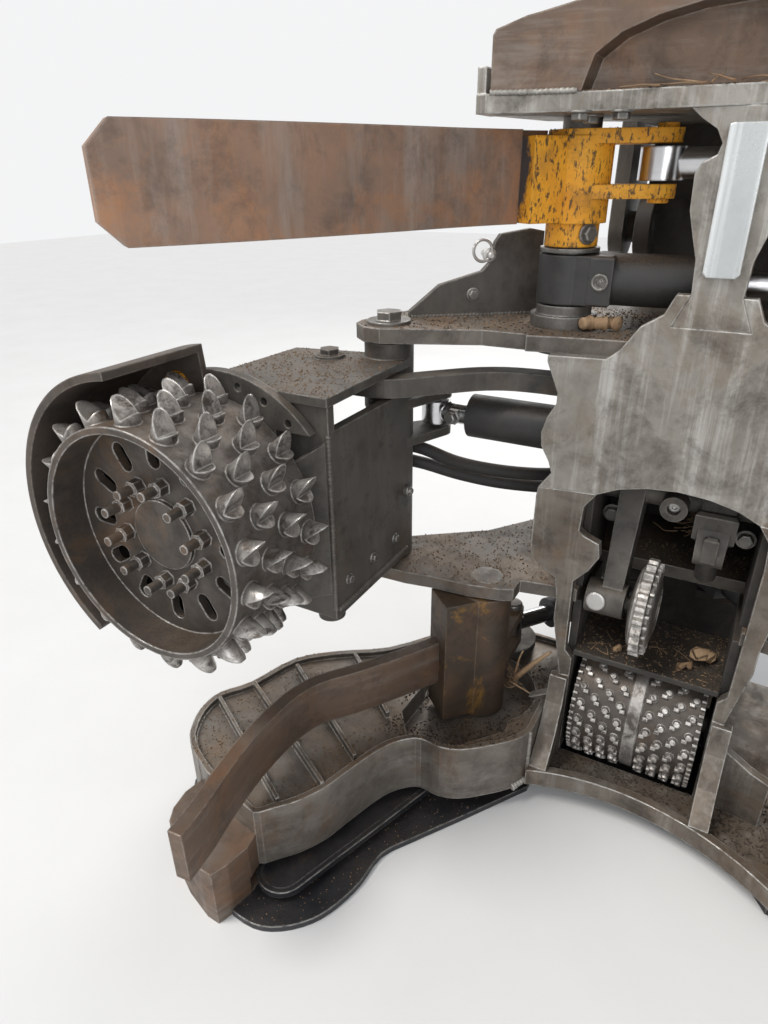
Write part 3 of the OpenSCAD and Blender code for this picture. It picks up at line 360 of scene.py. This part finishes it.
rubber = worn_steel(
    "rubber", base=(0.022, 0.021, 0.021), second=(0.040, 0.037, 0.034),
    streak=(0.055, 0.050, 0.046), edge=(0.090, 0.083, 0.075), rust=(0.095, 0.065, 0.042),
    grime=(0.045, 0.036, 0.028), metallic=0.0, rough=0.62, along=(30.0, 30.0, 30.0), streaks=0.3,
    rusty=0.2, dirty=0.45, dust=0.6, wear=0.2, grain=0.3)
bark = worn_steel(
    "bark", base=(0.24, 0.135, 0.070), second=(0.42, 0.285, 0.165), streak=(0.50, 0.36, 0.22),
    edge=(0.52, 0.40, 0.26), rust=(0.16, 0.085, 0.045), grime=(0.07, 0.045, 0.03), metallic=0.0,
    rough=0.80, along=(30.0, 30.0, 30.0), streaks=0.5, rusty=0.3, dirty=0.35, wear=0.1, pits=0.4,
    grain=0.7)
soot = worn_steel(
    "soot", base=(0.050, 0.038, 0.028), second=(0.095, 0.070, 0.050), streak=(0.13, 0.10, 0.075),
    edge=(0.16, 0.12, 0.09), rust=(0.08, 0.05, 0.03), grime=(0.02, 0.016, 0.012), metallic=0.0,
    rough=0.85, along=(30.0, 30.0, 30.0), streaks=0.5, rusty=0.3, dirty=0.35, wear=0.1, pits=0.4,
    grain=0.7)


def dress(material, *names):
    for name in names:
        node = nodes[name]
        if not node.data.materials:
            node.data.materials.append(material)
        for slot in node.material_slots:
            slot.material = material


dress(plate, "wear_plate", "wear_column", "top_band")
dress(brown_plate, "wear_side_left", "wear_side_right", "lip_plate")
dress(strip, "wear_insert")
dress(dark, "gusset", "feed_arm_left", "feed_arm_right", "feed_motor_left", "feed_motor_right",
      "tie_bar", "tilt_frame", "rotator", "saw_motor", "measuring_arm")
dress(murky, "spine", "webs", "brackets", "roller_mounts", "measuring_mounts")
dress(tread, "lower_deck", "upper_deck")
dress(walls, "saw_housing")
dress(slick, "saw_floor", "base_plate", "saw_bar", "saw_chain")
dress(rusty, "nose_block", "top_knife", "lower_blade_left", "lower_blade_right")
dress(flaked, "lower_hub_left", "lower_hub_right")
dress(orange, "upper_blade_left", "upper_blade_right")
dress(sooty, "feed_guard_left", "feed_guard_right")
dress(yellow, "upper_hub_left", "upper_hub_right")
dress(left_roller, "feed_roller_left")
dress(right_roller, "feed_roller_right")
dress(drum, "inner_roller")
dress(counter, "measuring_wheel")
dress(bare, "upper_pins", "deck_pins", "rotor")
dress(black, "feed_barrel", "upper_barrel_left", "upper_barrel_right", "lower_barrel_left",
      "lower_barrel_right", "tilt_barrel")
dress(chrome, "feed_rod", "upper_rod_left", "upper_rod_right", "lower_rod_left",
      "lower_rod_right", "tilt_rod")


# Shapes of the small pieces
def piece(name, points, faces, body, material, smooth=False):
    mesh = bpy.data.meshes.new(name)
    mesh.from_pydata([tuple(p) for p in points], [], faces)
    mesh.materials.append(material)
    mesh.update()
    for polygon in mesh.polygons:
        polygon.use_smooth = smooth
    obj = bpy.data.objects.new(name, mesh)
    bpy.context.scene.collection.objects.link(obj)
    if body:
        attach(obj, body)
    return obj


# faces of a closed skin over rings of equally many points
def skin(rings, sides):
    faces = []
    for k in range(rings - 1):
        for i in range(sides):
            j = (i + 1) % sides
            faces.append((k * sides + i, k * sides + j, (k + 1) * sides + j, (k + 1) * sides + i))
    last = (rings - 1) * sides
    faces.append(tuple(range(sides - 1, -1, -1)))
    faces.append(tuple(range(last, last + sides)))
    return faces


# turned shape: pairs of radius and height along an axis; few sides make a polygon
def turned(name, profile, place, axis, body, material, sides=28, turn=0.0):
    place = Vector(place)
    w = Vector(axis).normalized()
    u = w.orthogonal().normalized()
    v = w.cross(u)
    points = []
    for radius, height in profile:
        for i in range(sides):
            a = turn + 2 * math.pi * i / sides
            points.append(place + (u * math.cos(a) + v * math.sin(a)) * radius + w * height)
    piece(name, points, skin(len(profile), sides), body, material)


def hex_bolt(name, place, axis, body, size, turn=0.3):
    washer = [(size * 1.35, 0.0), (size * 1.35, 0.0025), (size * 1.25, 0.0032)]
    turned(name + "_washer", washer, place, axis, body, bare)
    on_washer = Vector(place) + Vector(axis).normalized() * 0.003
    head = [(size, 0.0), (size, size * 0.62), (size * 0.88, size * 0.72)]
    turned(name, head, on_washer, axis, body, bare, 6, turn)


# smooth curve through the points, with so many steps between two of them
def curve_points(points, steps):
    points = [Vector(p) for p in points]
    out = []
    for i in range(len(points) - 1):
        a = points[max(i - 1, 0)]
        b = points[i]
        c = points[i + 1]
        d = points[min(i + 2, len(points) - 1)]
        for k in range(steps):
            t = k / steps
            bend = (2 * a - 5 * b + 4 * c - d) * t * t + (3 * b - a - 3 * c + d) * t ** 3
            out.append(0.5 * (2 * b + (c - a) * t + bend))
    out.append(points[-1])
    return out


# round bar along a line; radius is a number, or a function of the share of the way
def tube(name, line, radius, body, material, sides):
    points = []
    count = len(line)
    side = None
    for i, here in enumerate(line):
        way = (line[min(i + 1, count - 1)] - line[max(i - 1, 0)]).normalized()
        side = way.orthogonal() if side is None else side - way * side.dot(way)
        side.normalize()
        other = way.cross(side)
        size = radius(i / (count - 1)) if callable(radius) else radius
        for k in range(sides):
            a = 2 * math.pi * k / sides
            points.append(here + (side * math.cos(a) + other * math.sin(a)) * size)
    return piece(name, points, skin(count, sides), body, material, True)


# weld bead with its ripples along straight lines
def weld(name, corners, body, size, material):
    corners = [Vector(p) for p in corners]
    line = []
    for a, b in zip(corners, corners[1:]):
        n = max(2, int((b - a).length / 0.002))
        line.extend(a.lerp(b, i / n) for i in range(n))
    line.append(corners[-1])
    own_dice = random.Random(len(line))
    wobble = [own_dice.uniform(-0.12, 0.12) for _ in line]
    count = len(line) - 1

    def radius(t):
        return size * (1.0 + 0.16 * math.sin(count * t * 1.7) + wobble[int(t * count)])

    tube(name, line, radius, body, material, 8)


# block with chamfered ends; size is along axis_x, across it, and upwards
def slab(name, centre, size, axis_x, body, material, chamfer):
    x = Vector(axis_x).normalized()
    y = Vector((0.0, 0.0, 1.0)).cross(x).normalized()
    z = x.cross(y)
    half = size[2] / 2
    levels = ((chamfer, -half), (0.0, chamfer - half), (0.0, half - chamfer), (chamfer, half))
    points = []
    for inset, lift in levels:
        for u, v in ((-1, -1), (1, -1), (1, 1), (-1, 1)):
            flat = x * u * (size[0] / 2 - inset) + y * v * (size[1] / 2 - inset)
            points.append(Vector(centre) + flat + z * lift)
    piece(name, points, skin(4, 4), body, material)


BOX_FACES = ((0, 3, 2, 1), (4, 5, 6, 7), (0, 1, 5, 4), (1, 2, 6, 5), (2, 3, 7, 6), (3, 0, 4, 7))


def add_box(points, faces, corners):
    base = len(points)
    points.extend(corners)
    faces.extend(tuple(base + i for i in face) for face in BOX_FACES)


# box between two radii of a wheel whose axis is along x; width is half of its foot
def wheel_box(points, faces, centre, span_x, radii, angle, width):
    x0, x1 = span_x
    c = math.cos(angle)
    s = math.sin(angle)
    corners = []
    for r, half in ((radii[0], width), (radii[1], width * 0.7)):
        for x, side in ((x0, -1), (x1, -1), (x1, 1), (x0, 1)):
            across = side * half
            corners.append((centre[0] + x, centre[1] + r * c - across * s, centre[2] + r * s + across * c))
    add_box(points, faces, corners)


# Bolts, plugs and the lock pin
gusset_turn = math.radians(36.9)
gusset_front = (math.sin(gusset_turn), -math.cos(gusset_turn), 0.0)
hex_bolt("gusset_bolt", (-0.446, 0.0065, 1.008), gusset_front, "frame", 0.010)
hex_bolt("neck_bolt", (-0.2265, -0.0295, 1.128), (0.77, -0.64, 0.0), "upper_knife_left", 0.013)
band_places = ((0.2285, -0.150), (0.234, -0.060), (0.173, -0.128))
for side_name, sign in SIDES:
    for k, (x, y) in enumerate(band_places):
        place = (sign * x, y, 1.3035)
        hex_bolt(f"band_bolt_{side_name}_{k}", place, (0, 0, -1), "frame", 0.013, 0.2 * k)
    place = (sign * 0.1225, 0.012, 0.602)
    hex_bolt(f"mount_bolt_{side_name}", place, (0, -1, 0), "measuring_arm", 0.014)

# block and plug on the eye of each upper cylinder
plug = [(0.0145, 0.0), (0.0145, 0.004), (0.011, 0.0045), (0.0095, 0.0015), (0.0045, 0.0015),
        (0.0040, 0.0045), (0.0005, 0.0045)]
cylinder_turn = math.radians(4.1)
for side_name, sign, height in (("right", -1, 1.052), ("left", 1, 1.234)):
    barrel = f"upper_barrel_{side_name}"
    along = Vector((-sign * math.cos(cylinder_turn), math.sin(cylinder_turn), 0.0))
    front = Vector((-sign * math.sin(cylinder_turn), -math.cos(cylinder_turn), 0.0))
    middle = Vector((sign * 0.262, 0.0, height)) + along * 0.066
    slab(f"eye_block_{side_name}", middle, (0.040, 0.100, 0.084), along, barrel, black, 0.004)
    turned(f"eye_plug_{side_name}", plug, middle + front * 0.0495, front, barrel, bare)

# lock pin with its ring on the gusset
lock = Vector((-0.427, 0.021, 1.083))
lock_axis = Vector(gusset_front)
pin = [(0.007, -0.018), (0.007, 0.014), (0.013, 0.014), (0.013, 0.021), (0.007, 0.022),
       (0.0065, 0.034), (0.005, 0.036)]
turned("lock_pin", pin, lock, lock_axis, "frame", zinc)
ring_side = Vector((-0.62, -0.62, 0.48)).normalized()
ring_up = Vector((0.35, 0.25, 0.90)).normalized()
ring_middle = lock + lock_axis * 0.025 + ring_side * 0.018
ring = []
for k in range(31):
    a = math.radians(k * 12)
    ring.append(ring_middle + (ring_side * math.cos(a) + ring_up * math.sin(a)) * 0.019)
tube("lock_ring", ring, 0.0030, "frame", zinc, 8)

# dusty caps left on the upper deck
cap = [(0.008, 0.0), (0.011, 0.003), (0.011, 0.016), (0.013, 0.017), (0.013, 0.022), (0.006, 0.026)]
caps = ((-0.196, -0.038, (1, 0.4, 0)), (-0.176, -0.016, (1, -0.5, 0)), (-0.214, -0.052, (0.6, 0.9, 0)))
for k, (x, y, aim) in enumerate(caps):
    turned(f"dust_cap_{k}", cap, (x, y, 0.9815), aim, "frame", bark, 16)

# fittings of the feed arm and its cylinder
stub = [(0.012, 0.0), (0.012, 0.010), (0.007, 0.011), (0.006, 0.016)]
port = [(0.026, 0.0), (0.026, 0.018), (0.021, 0.020), (0.017, 0.020), (0.016, 0.008), (0.001, 0.008)]
fitting = [(0.017, 0.0), (0.017, 0.012), (0.013, 0.013), (0.013, 0.022), (0.010, 0.026), (0.004, 0.026)]
for side_name, sign in SIDES:
    arm = f"feed_arm_{side_name}"
    inward = (-sign, 0, 0)
    side_x = sign * ARM_SIDE_X
    turned(f"grease_stub_{side_name}", stub, (side_x, -0.150, 0.634), inward, arm, bare, 16)
    turned(f"port_ring_{side_name}", port, (sign * 0.793, -0.4515, 0.899), (0, -1, 0), arm, yellow)
    for k in range(3):
        place = (side_x, -0.20 - 0.09 * k, 0.545)
        hex_bolt(f"arm_bolt_{side_name}_{k}", place, inward, arm, 0.008, 0.4 * k)
    foot = [(sign * 0.5115, -0.418, 0.4975), (sign * 0.5115, -0.145, 0.4975)]
    corner = [(sign * 0.514, -0.4235, 0.50), (sign * 0.514, -0.4235, 0.84)]
    weld(f"arm_weld_{side_name}", foot, arm, 0.005, dark)
    weld(f"arm_seam_{side_name}", corner, arm, 0.004, dark)
turned("rod_fitting", fitting, (-0.452, -0.050, 0.775), (0, -1, 0), "feed_rod", bare, 6, 0.2)

# hoses from the roller motors to the frame; the last column is how much y follows the drop
hose_route = (
    (0.66, -0.150, 0.672, 0.0),
    (0.605, -0.062, 0.690, 0.0),
    (0.53, -0.052, 0.692, 0.0),
    (0.45, -0.036, 0.668, 0.5),
    (0.37, -0.004, 0.652, 0.5),
    (0.28, 0.030, 0.648, 0.4),
    (0.203, 0.075, 0.652, 0.0),
)
for side_name, sign in SIDES:
    for k, drop in enumerate((0.0, 0.034)):
        line = curve_points([(sign * x, y + share * drop, z - drop) for x, y, z, share in hose_route], 8)
        hose = tube(f"motor_hose_{side_name}_{k}", line, 0.0135, None, rubber, 14)
        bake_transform(hose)

# measuring wheel and its arm
flange = [(0.080, 0.0), (0.080, 0.005), (0.074, 0.009), (0.052, 0.014), (0.042, 0.0155), (0.041, 0.010)]
for side_name, sign in SIDES:
    place = (MEASURING_WHEEL[0] + sign * 0.0095, *MEASURING_WHEEL[1:])
    turned(f"wheel_flange_{side_name}", flange, place, (sign, 0, 0), "measuring_wheel", counter, 40)
points = []
faces = []
for i in range(26):
    angle = 2 * math.pi * (i + 0.5) / 26
    wheel_box(points, faces, MEASURING_WHEEL, (0.0105, 0.018), (0.076, 0.091), angle, 0.0035)
piece("wheel_pegs", points, faces, "measuring_wheel", counter)
hub_cap = [(0.019, 0.0), (0.019, 0.004), (0.016, 0.0055), (0.001, 0.006)]
boss_screw = [(0.0105, 0.0), (0.0105, 0.006), (0.005, 0.006), (0.0045, 0.002), (0.0005, 0.002)]
turned("hub_cap", hub_cap, (-0.110, -0.1085, 0.462), (0, -1, 0.16), "measuring_arm", zinc)
turned("boss_screw", boss_screw, (-0.008, -0.0105, 0.651), (0, -1, 0), "measuring_arm", zinc, 20)
slab("arm_pad", (0.068, -0.0445, 0.590), (0.026, 0.014, 0.056), (1, 0, 0), "measuring_arm", dark, 0.005)
slab("arm_cover", (0.068, -0.016, 0.625), (0.074, 0.022, 0.060), (1, 0, 0), "measuring_arm", dark, 0.006)
hex_bolt("fork_bolt", (-0.092, -0.030, 0.560), (0, -0.9, 0.4), "measuring_arm", 0.009)

# extra studs and the end teeth of the inner roller
points = []
faces = []
for sign in (-1, 1):
    for row in range(4):
        x = sign * (0.0225 + 0.026 * row)
        shift = 0.75 if row % 2 else 0.25
        for i in range(24):
            angle = 2 * math.pi * (i + shift) / 24
            wheel_box(points, faces, INNER_ROLLER, (x - 0.005, x + 0.005), (0.1355, 0.1445), angle, 0.005)
    x = sign * 0.1205
    for i in range(60):
        angle = 2 * math.pi * i / 60
        wheel_box(points, faces, INNER_ROLLER, (x - 0.0045, x + 0.0045), (0.1355, 0.1435), angle, 0.0034)
piece("drum_studs", points, faces, "inner_roller", drum)

# welds of the saw box, the gusset and the cut knife, and the cap of the lower knife's pin
box_corner = [(-0.180, -0.2272, 0.062), (-0.180, -0.2272, 0.188)]
box_foot = [(-0.199, -0.264, 0.056), (-0.188, -0.243, 0.058), (-0.177, -0.226, 0.062),
            (-0.150, -0.219, 0.066)]
weld("box_seam", box_corner, "frame", 0.005, plate)
weld("box_foot_weld", box_foot, "frame", 0.008, plate)
weld("gusset_weld", [(-0.546, -0.065, 0.9685), (-0.346, 0.085, 0.9685)], "frame", 0.005, dark)
for side_name, sign in SIDES:
    knife_foot = [(sign * x, y, CUT_KNIFE_Z) for x, y in ((0.362, -0.172), (0.300, -0.149), (0.240, -0.135))]
    weld(f"knife_weld_{side_name}", knife_foot, "frame", 0.004, plate)
pin_cap = [(0.021, 0.0), (0.021, 0.010), (0.017, 0.013), (0.001, 0.014)]
turned("knife_pin_cap", pin_cap, (-0.3074, -0.002, 0.3225), (0, 0, 1), "lower_knife_left", bare)

# Twigs, dry grass, leaves and chips that the trees left behind
dice = random.Random(41)


def twig(name, start, way, length, thick, bend):
    here = Vector(start)
    way = Vector(way).normalized()
    line = [here.copy()]
    steps = 7
    for _ in range(steps):
        way = (way + Vector([dice.uniform(-bend, bend) for _ in range(3)])).normalized()
        here = here + way * length / steps
        line.append(here.copy())
    tube(name, line, lambda t: thick * (1.0 - 0.55 * t), "frame", bark, 6)


# a pair of limits draws a number between them; a single number stays
def pick(*ranges):
    return tuple(dice.uniform(*r) if isinstance(r, tuple) else r for r in ranges)


twig("branch_a", (-0.262, -0.100, 0.200), (0.55, 0.10, 0.83), 0.120, 0.0075, 0.08)
twig("branch_b", (-0.262, -0.095, 0.205), (0.05, 0.05, 1.0), 0.085, 0.0035, 0.10)
twig("branch_c", (-0.270, -0.110, 0.200), (0.75, -0.25, 0.05), 0.060, 0.0030, 0.12)

# name, count, start, direction, length, radius and bend of the loose stalks
stalks = (
    ("bristle", 22, ((-0.282, -0.242), (-0.120, -0.080), (0.186, 0.218)),
     ((-1, 0.6), (-1, 0.4), (-0.7, 0.8)), (0.02, 0.045), 0.0012, 0.35),
    ("grass", 30, ((-0.012, 0.053), (0.062, 0.086), (0.550, 0.625)),
     ((-1, 1), (-1, 0.3), (-0.6, 0.8)), (0.025, 0.055), 0.0010, 0.4),
    ("straw", 16, ((-0.11, 0.115), (-0.095, -0.02), 0.3335),
     ((-1, 1), (-0.4, 1), 0.03), (0.02, 0.05), 0.0011, 0.15),
    ("knife_twig", 10, ((-0.20, 0.16), (-0.130, -0.112), 1.3325),
     ((-1, 1), (-0.1, 0.1), 0.04), (0.03, 0.07), 0.0016, 0.10),
)
# these two are cut short, clear of the measuring arm's swing
short_stalks = ("grass_6", "grass_19")
for kind, count, start, way, lengths, thick, bend in stalks:
    for k in range(count):
        name = f"{kind}_{k}"
        spot = pick(*start)
        aim = pick(*way)
        length = dice.uniform(*lengths) * (0.3 if name in short_stalks else 1.0)
        twig(name, spot, aim, length, thick, bend)


# curled leaf lying on the shelf
def leaf(name, middle, size, turn):
    lean = Vector((math.cos(turn) * 0.5, math.sin(turn) * 0.5 - 0.35, 0.85)).normalized()
    u = lean.orthogonal().normalized()
    v = lean.cross(u)
    sides = 14
    rim = []
    for i in range(sides):
        a = 2 * math.pi * i / sides
        r = size * (0.62 + 0.22 * math.cos(2 * a) + 0.07 * math.sin(7 * a))
        flat = (u * math.cos(a) + v * math.sin(a)) * r
        rim.append(Vector(middle) + flat + lean * 0.006 * math.cos(3 * a))
    top = [p + lean * 0.0008 for p in rim]
    piece(name, rim + top, skin(2, sides), "frame", bark)


leaf("leaf_0", (0.098, -0.030, 0.352), 0.036, 0.4)
leaf("leaf_1", (0.070, -0.064, 0.3375), 0.022, 2.0)
leaf("leaf_2", (-0.060, -0.070, 0.336), 0.016, 4.0)


# chips dropped from top down to low, kept where they land flat on one of the targets
def crumbs(name, body, targets, range_x, range_y, heights, count, sizes, material):
    scene = bpy.context.scene
    depsgraph = bpy.context.evaluated_depsgraph_get()
    allowed = {nodes[t].name for t in targets}
    top, low = heights
    down = (0, 0, -1)
    points = []
    faces = []
    for _ in range(count):
        start = Vector((dice.uniform(*range_x), dice.uniform(*range_y), top))
        hit, spot, normal, _, found, _ = scene.ray_cast(depsgraph, start, down, distance=top - low)
        if not hit or found.name not in allowed or normal.z < 0.8:
            continue
        size = dice.uniform(*sizes)
        turn = dice.uniform(0, 6.28)
        u = Vector((math.cos(turn), math.sin(turn), dice.uniform(-0.2, 0.2))).normalized()
        v = normal.cross(u).normalized() * size * dice.uniform(0.2, 0.5)
        u = u * size
        rise = normal * dice.uniform(0.0006, 0.0016)
        spot = spot + normal * 0.0004
        foot = [spot - u - v, spot + u - v * 0.6, spot + u * 0.8 + v, spot - u * 0.7 + v]
        add_box(points, faces, foot + [p + rise for p in foot])
    if points:
        piece(name, points, faces, body, material)


SHELF = ((-0.138, 0.138), (-0.108, 0.080), (0.337, 0.325))
UPPER_DECK = ((-0.60, 0.60), (-0.18, 0.20), (0.975, 0.955))
BAND = ((-0.24, 0.24), (-0.21, 0.00), (1.335, 1.325))
# name, body, targets, ranges of x and y, heights, count, sizes and finish of each heap
heaps = (
    ("chips_deck_up", "frame", ("upper_deck",), *UPPER_DECK, 3300, (0.0007, 0.0022), bark),
    ("chips_deck_dark", "frame", ("upper_deck",), *UPPER_DECK, 2250, (0.0007, 0.0025), soot),
    ("chips_deck_low", "frame", ("lower_deck",), (-0.62, 0.62), (-0.20, 0.20), (0.474, 0.460),
     3900, (0.0007, 0.0025), bark),
    ("chips_shelf", "frame", ("roller_mounts",), *SHELF, 2250, (0.0009, 0.0033), soot),
    ("chips_shelf_pale", "frame", ("roller_mounts",), *SHELF, 630, (0.0009, 0.0028), bark),
    ("chips_box", "frame", ("saw_housing",), (-0.83, -0.20), (-0.66, 0.06), (0.30, 0.12),
     3900, (0.0006, 0.0021), bark),
    ("chips_box_dark", "frame", ("saw_housing",), (-0.46, -0.20), (-0.36, 0.00), (0.30, 0.12),
     1950, (0.0009, 0.0030), soot),
    ("chips_floor", "frame", ("saw_floor",), (-0.70, -0.26), (-0.75, -0.20), (0.020, 0.010),
     750, (0.0006, 0.0017), bark),
    ("chips_trough", "frame", ("lip_plate", "base_plate"), (-0.17, 0.30), (-0.22, -0.05), (0.070, 0.010),
     2100, (0.0009, 0.0033), soot),
    ("chips_band", "frame", ("top_band",), *BAND, 2550, (0.0009, 0.0033), bark),
    ("chips_band_dark", "frame", ("top_band",), *BAND, 1350, (0.0009, 0.0033), soot),
    ("chips_arm_left", "feed_arm_left", ("feed_arm_left",), (-0.78, -0.50), (-0.44, -0.08), (0.915, 0.900),
     1350, (0.0006, 0.0019), bark),
    ("chips_arm_right", "feed_arm_right", ("feed_arm_right",), (0.50, 0.78), (-0.44, -0.08), (0.915, 0.900),
     750, (0.0006, 0.0019), bark),
    ("chips_hub_left", "upper_knife_left", ("upper_hub_left",), (-0.33, -0.10), (-0.10, 0.08), (1.30, 1.17),
     390, (0.0005, 0.0012), soot),
)
for heap in heaps:
    crumbs(*heap)


# Floor, background and light
def make_floor():
    half = 14
    corners = [(-half, -half, 0), (half, -half, 0), (half, half, 0), (-half, half, 0)]
    mesh = bpy.data.meshes.new("floor")
    mesh.from_pydata(corners, [], [(0, 1, 2, 3)])
    floor = bpy.data.objects.new("floor", mesh)
    bpy.context.scene.collection.objects.link(floor)
    pale = Tree("floor_pale")
    tone = pale.blend(pale.ramp(pale.noise(3.0, 4.0), 0.3, 0.7), (0.715, 0.711, 0.699), (0.745, 0.741, 0.732))
    pale.put(tone, pale.shader.inputs["Base Color"])
    pale.put(0.85, pale.shader.inputs["Roughness"])
    pale.put(pale.bump(pale.noise(220.0, 3.0), 0.06, 0.001), pale.shader.inputs["Normal"])
    mesh.materials.append(pale.material)


# the first colour lights the scene, the second is what the camera and reflections see
def make_background():
    world = bpy.data.worlds.new("studio")
    bpy.context.scene.world = world
    world.use_nodes = True
    tree = world.node_tree
    tree.nodes.clear()
    out = tree.nodes.new("ShaderNodeOutputWorld")
    path = tree.nodes.new("ShaderNodeLightPath")
    both = tree.nodes.new("ShaderNodeMixShader")
    shades = (((0.86, 0.90, 0.96, 1.0), 0.55), ((0.90, 0.905, 0.91, 1.0), 1.0))
    for slot, (colour, strength) in enumerate(shades, 1):
        shade = tree.nodes.new("ShaderNodeBackground")
        shade.inputs["Color"].default_value = colour
        shade.inputs["Strength"].default_value = strength
        tree.links.new(shade.outputs["Background"], both.inputs[slot])
    share = path.outputs["Is Camera Ray"]
    for kind in ("Is Glossy Ray", "Is Transmission Ray"):
        larger = tree.nodes.new("ShaderNodeMath")
        larger.operation = "MAXIMUM"
        tree.links.new(share, larger.inputs[0])
        tree.links.new(path.outputs[kind], larger.inputs[1])
        share = larger.outputs[0]
    tree.links.new(share, both.inputs["Fac"])
    tree.links.new(both.outputs["Shader"], out.inputs["Surface"])


def add_light(name, kind, power, tint, way):
    data = bpy.data.lights.new(name, kind)
    data.energy = power
    data.color = tint
    lamp = bpy.data.objects.new(name, data)
    bpy.context.scene.collection.objects.link(lamp)
    lamp.rotation_euler = way.to_track_quat("-Z", "Y").to_euler()
    return lamp


def make_lights():
    key = add_light("key", "SUN", 2.3, (1.0, 0.975, 0.94), Vector((0.52, 0.50, -1.05)))
    key.data.angle = math.radians(24.0)
    target = Vector((0.0, 0.0, 0.7))
    for name, place, power, tint in (
        ("front", (1.6, -3.2, 2.2), 46.0, (0.95, 0.97, 1.0)),
        ("back", (-0.8, 3.4, 3.2), 60.0, (1.0, 0.98, 0.95)),
    ):
        lamp = add_light(name, "AREA", power, tint, target - Vector(place))
        lamp.data.size = 2.6
        lamp.location = place


make_floor()
make_background()
make_lights()
bpy.context.scene.view_settings.view_transform = "Standard"
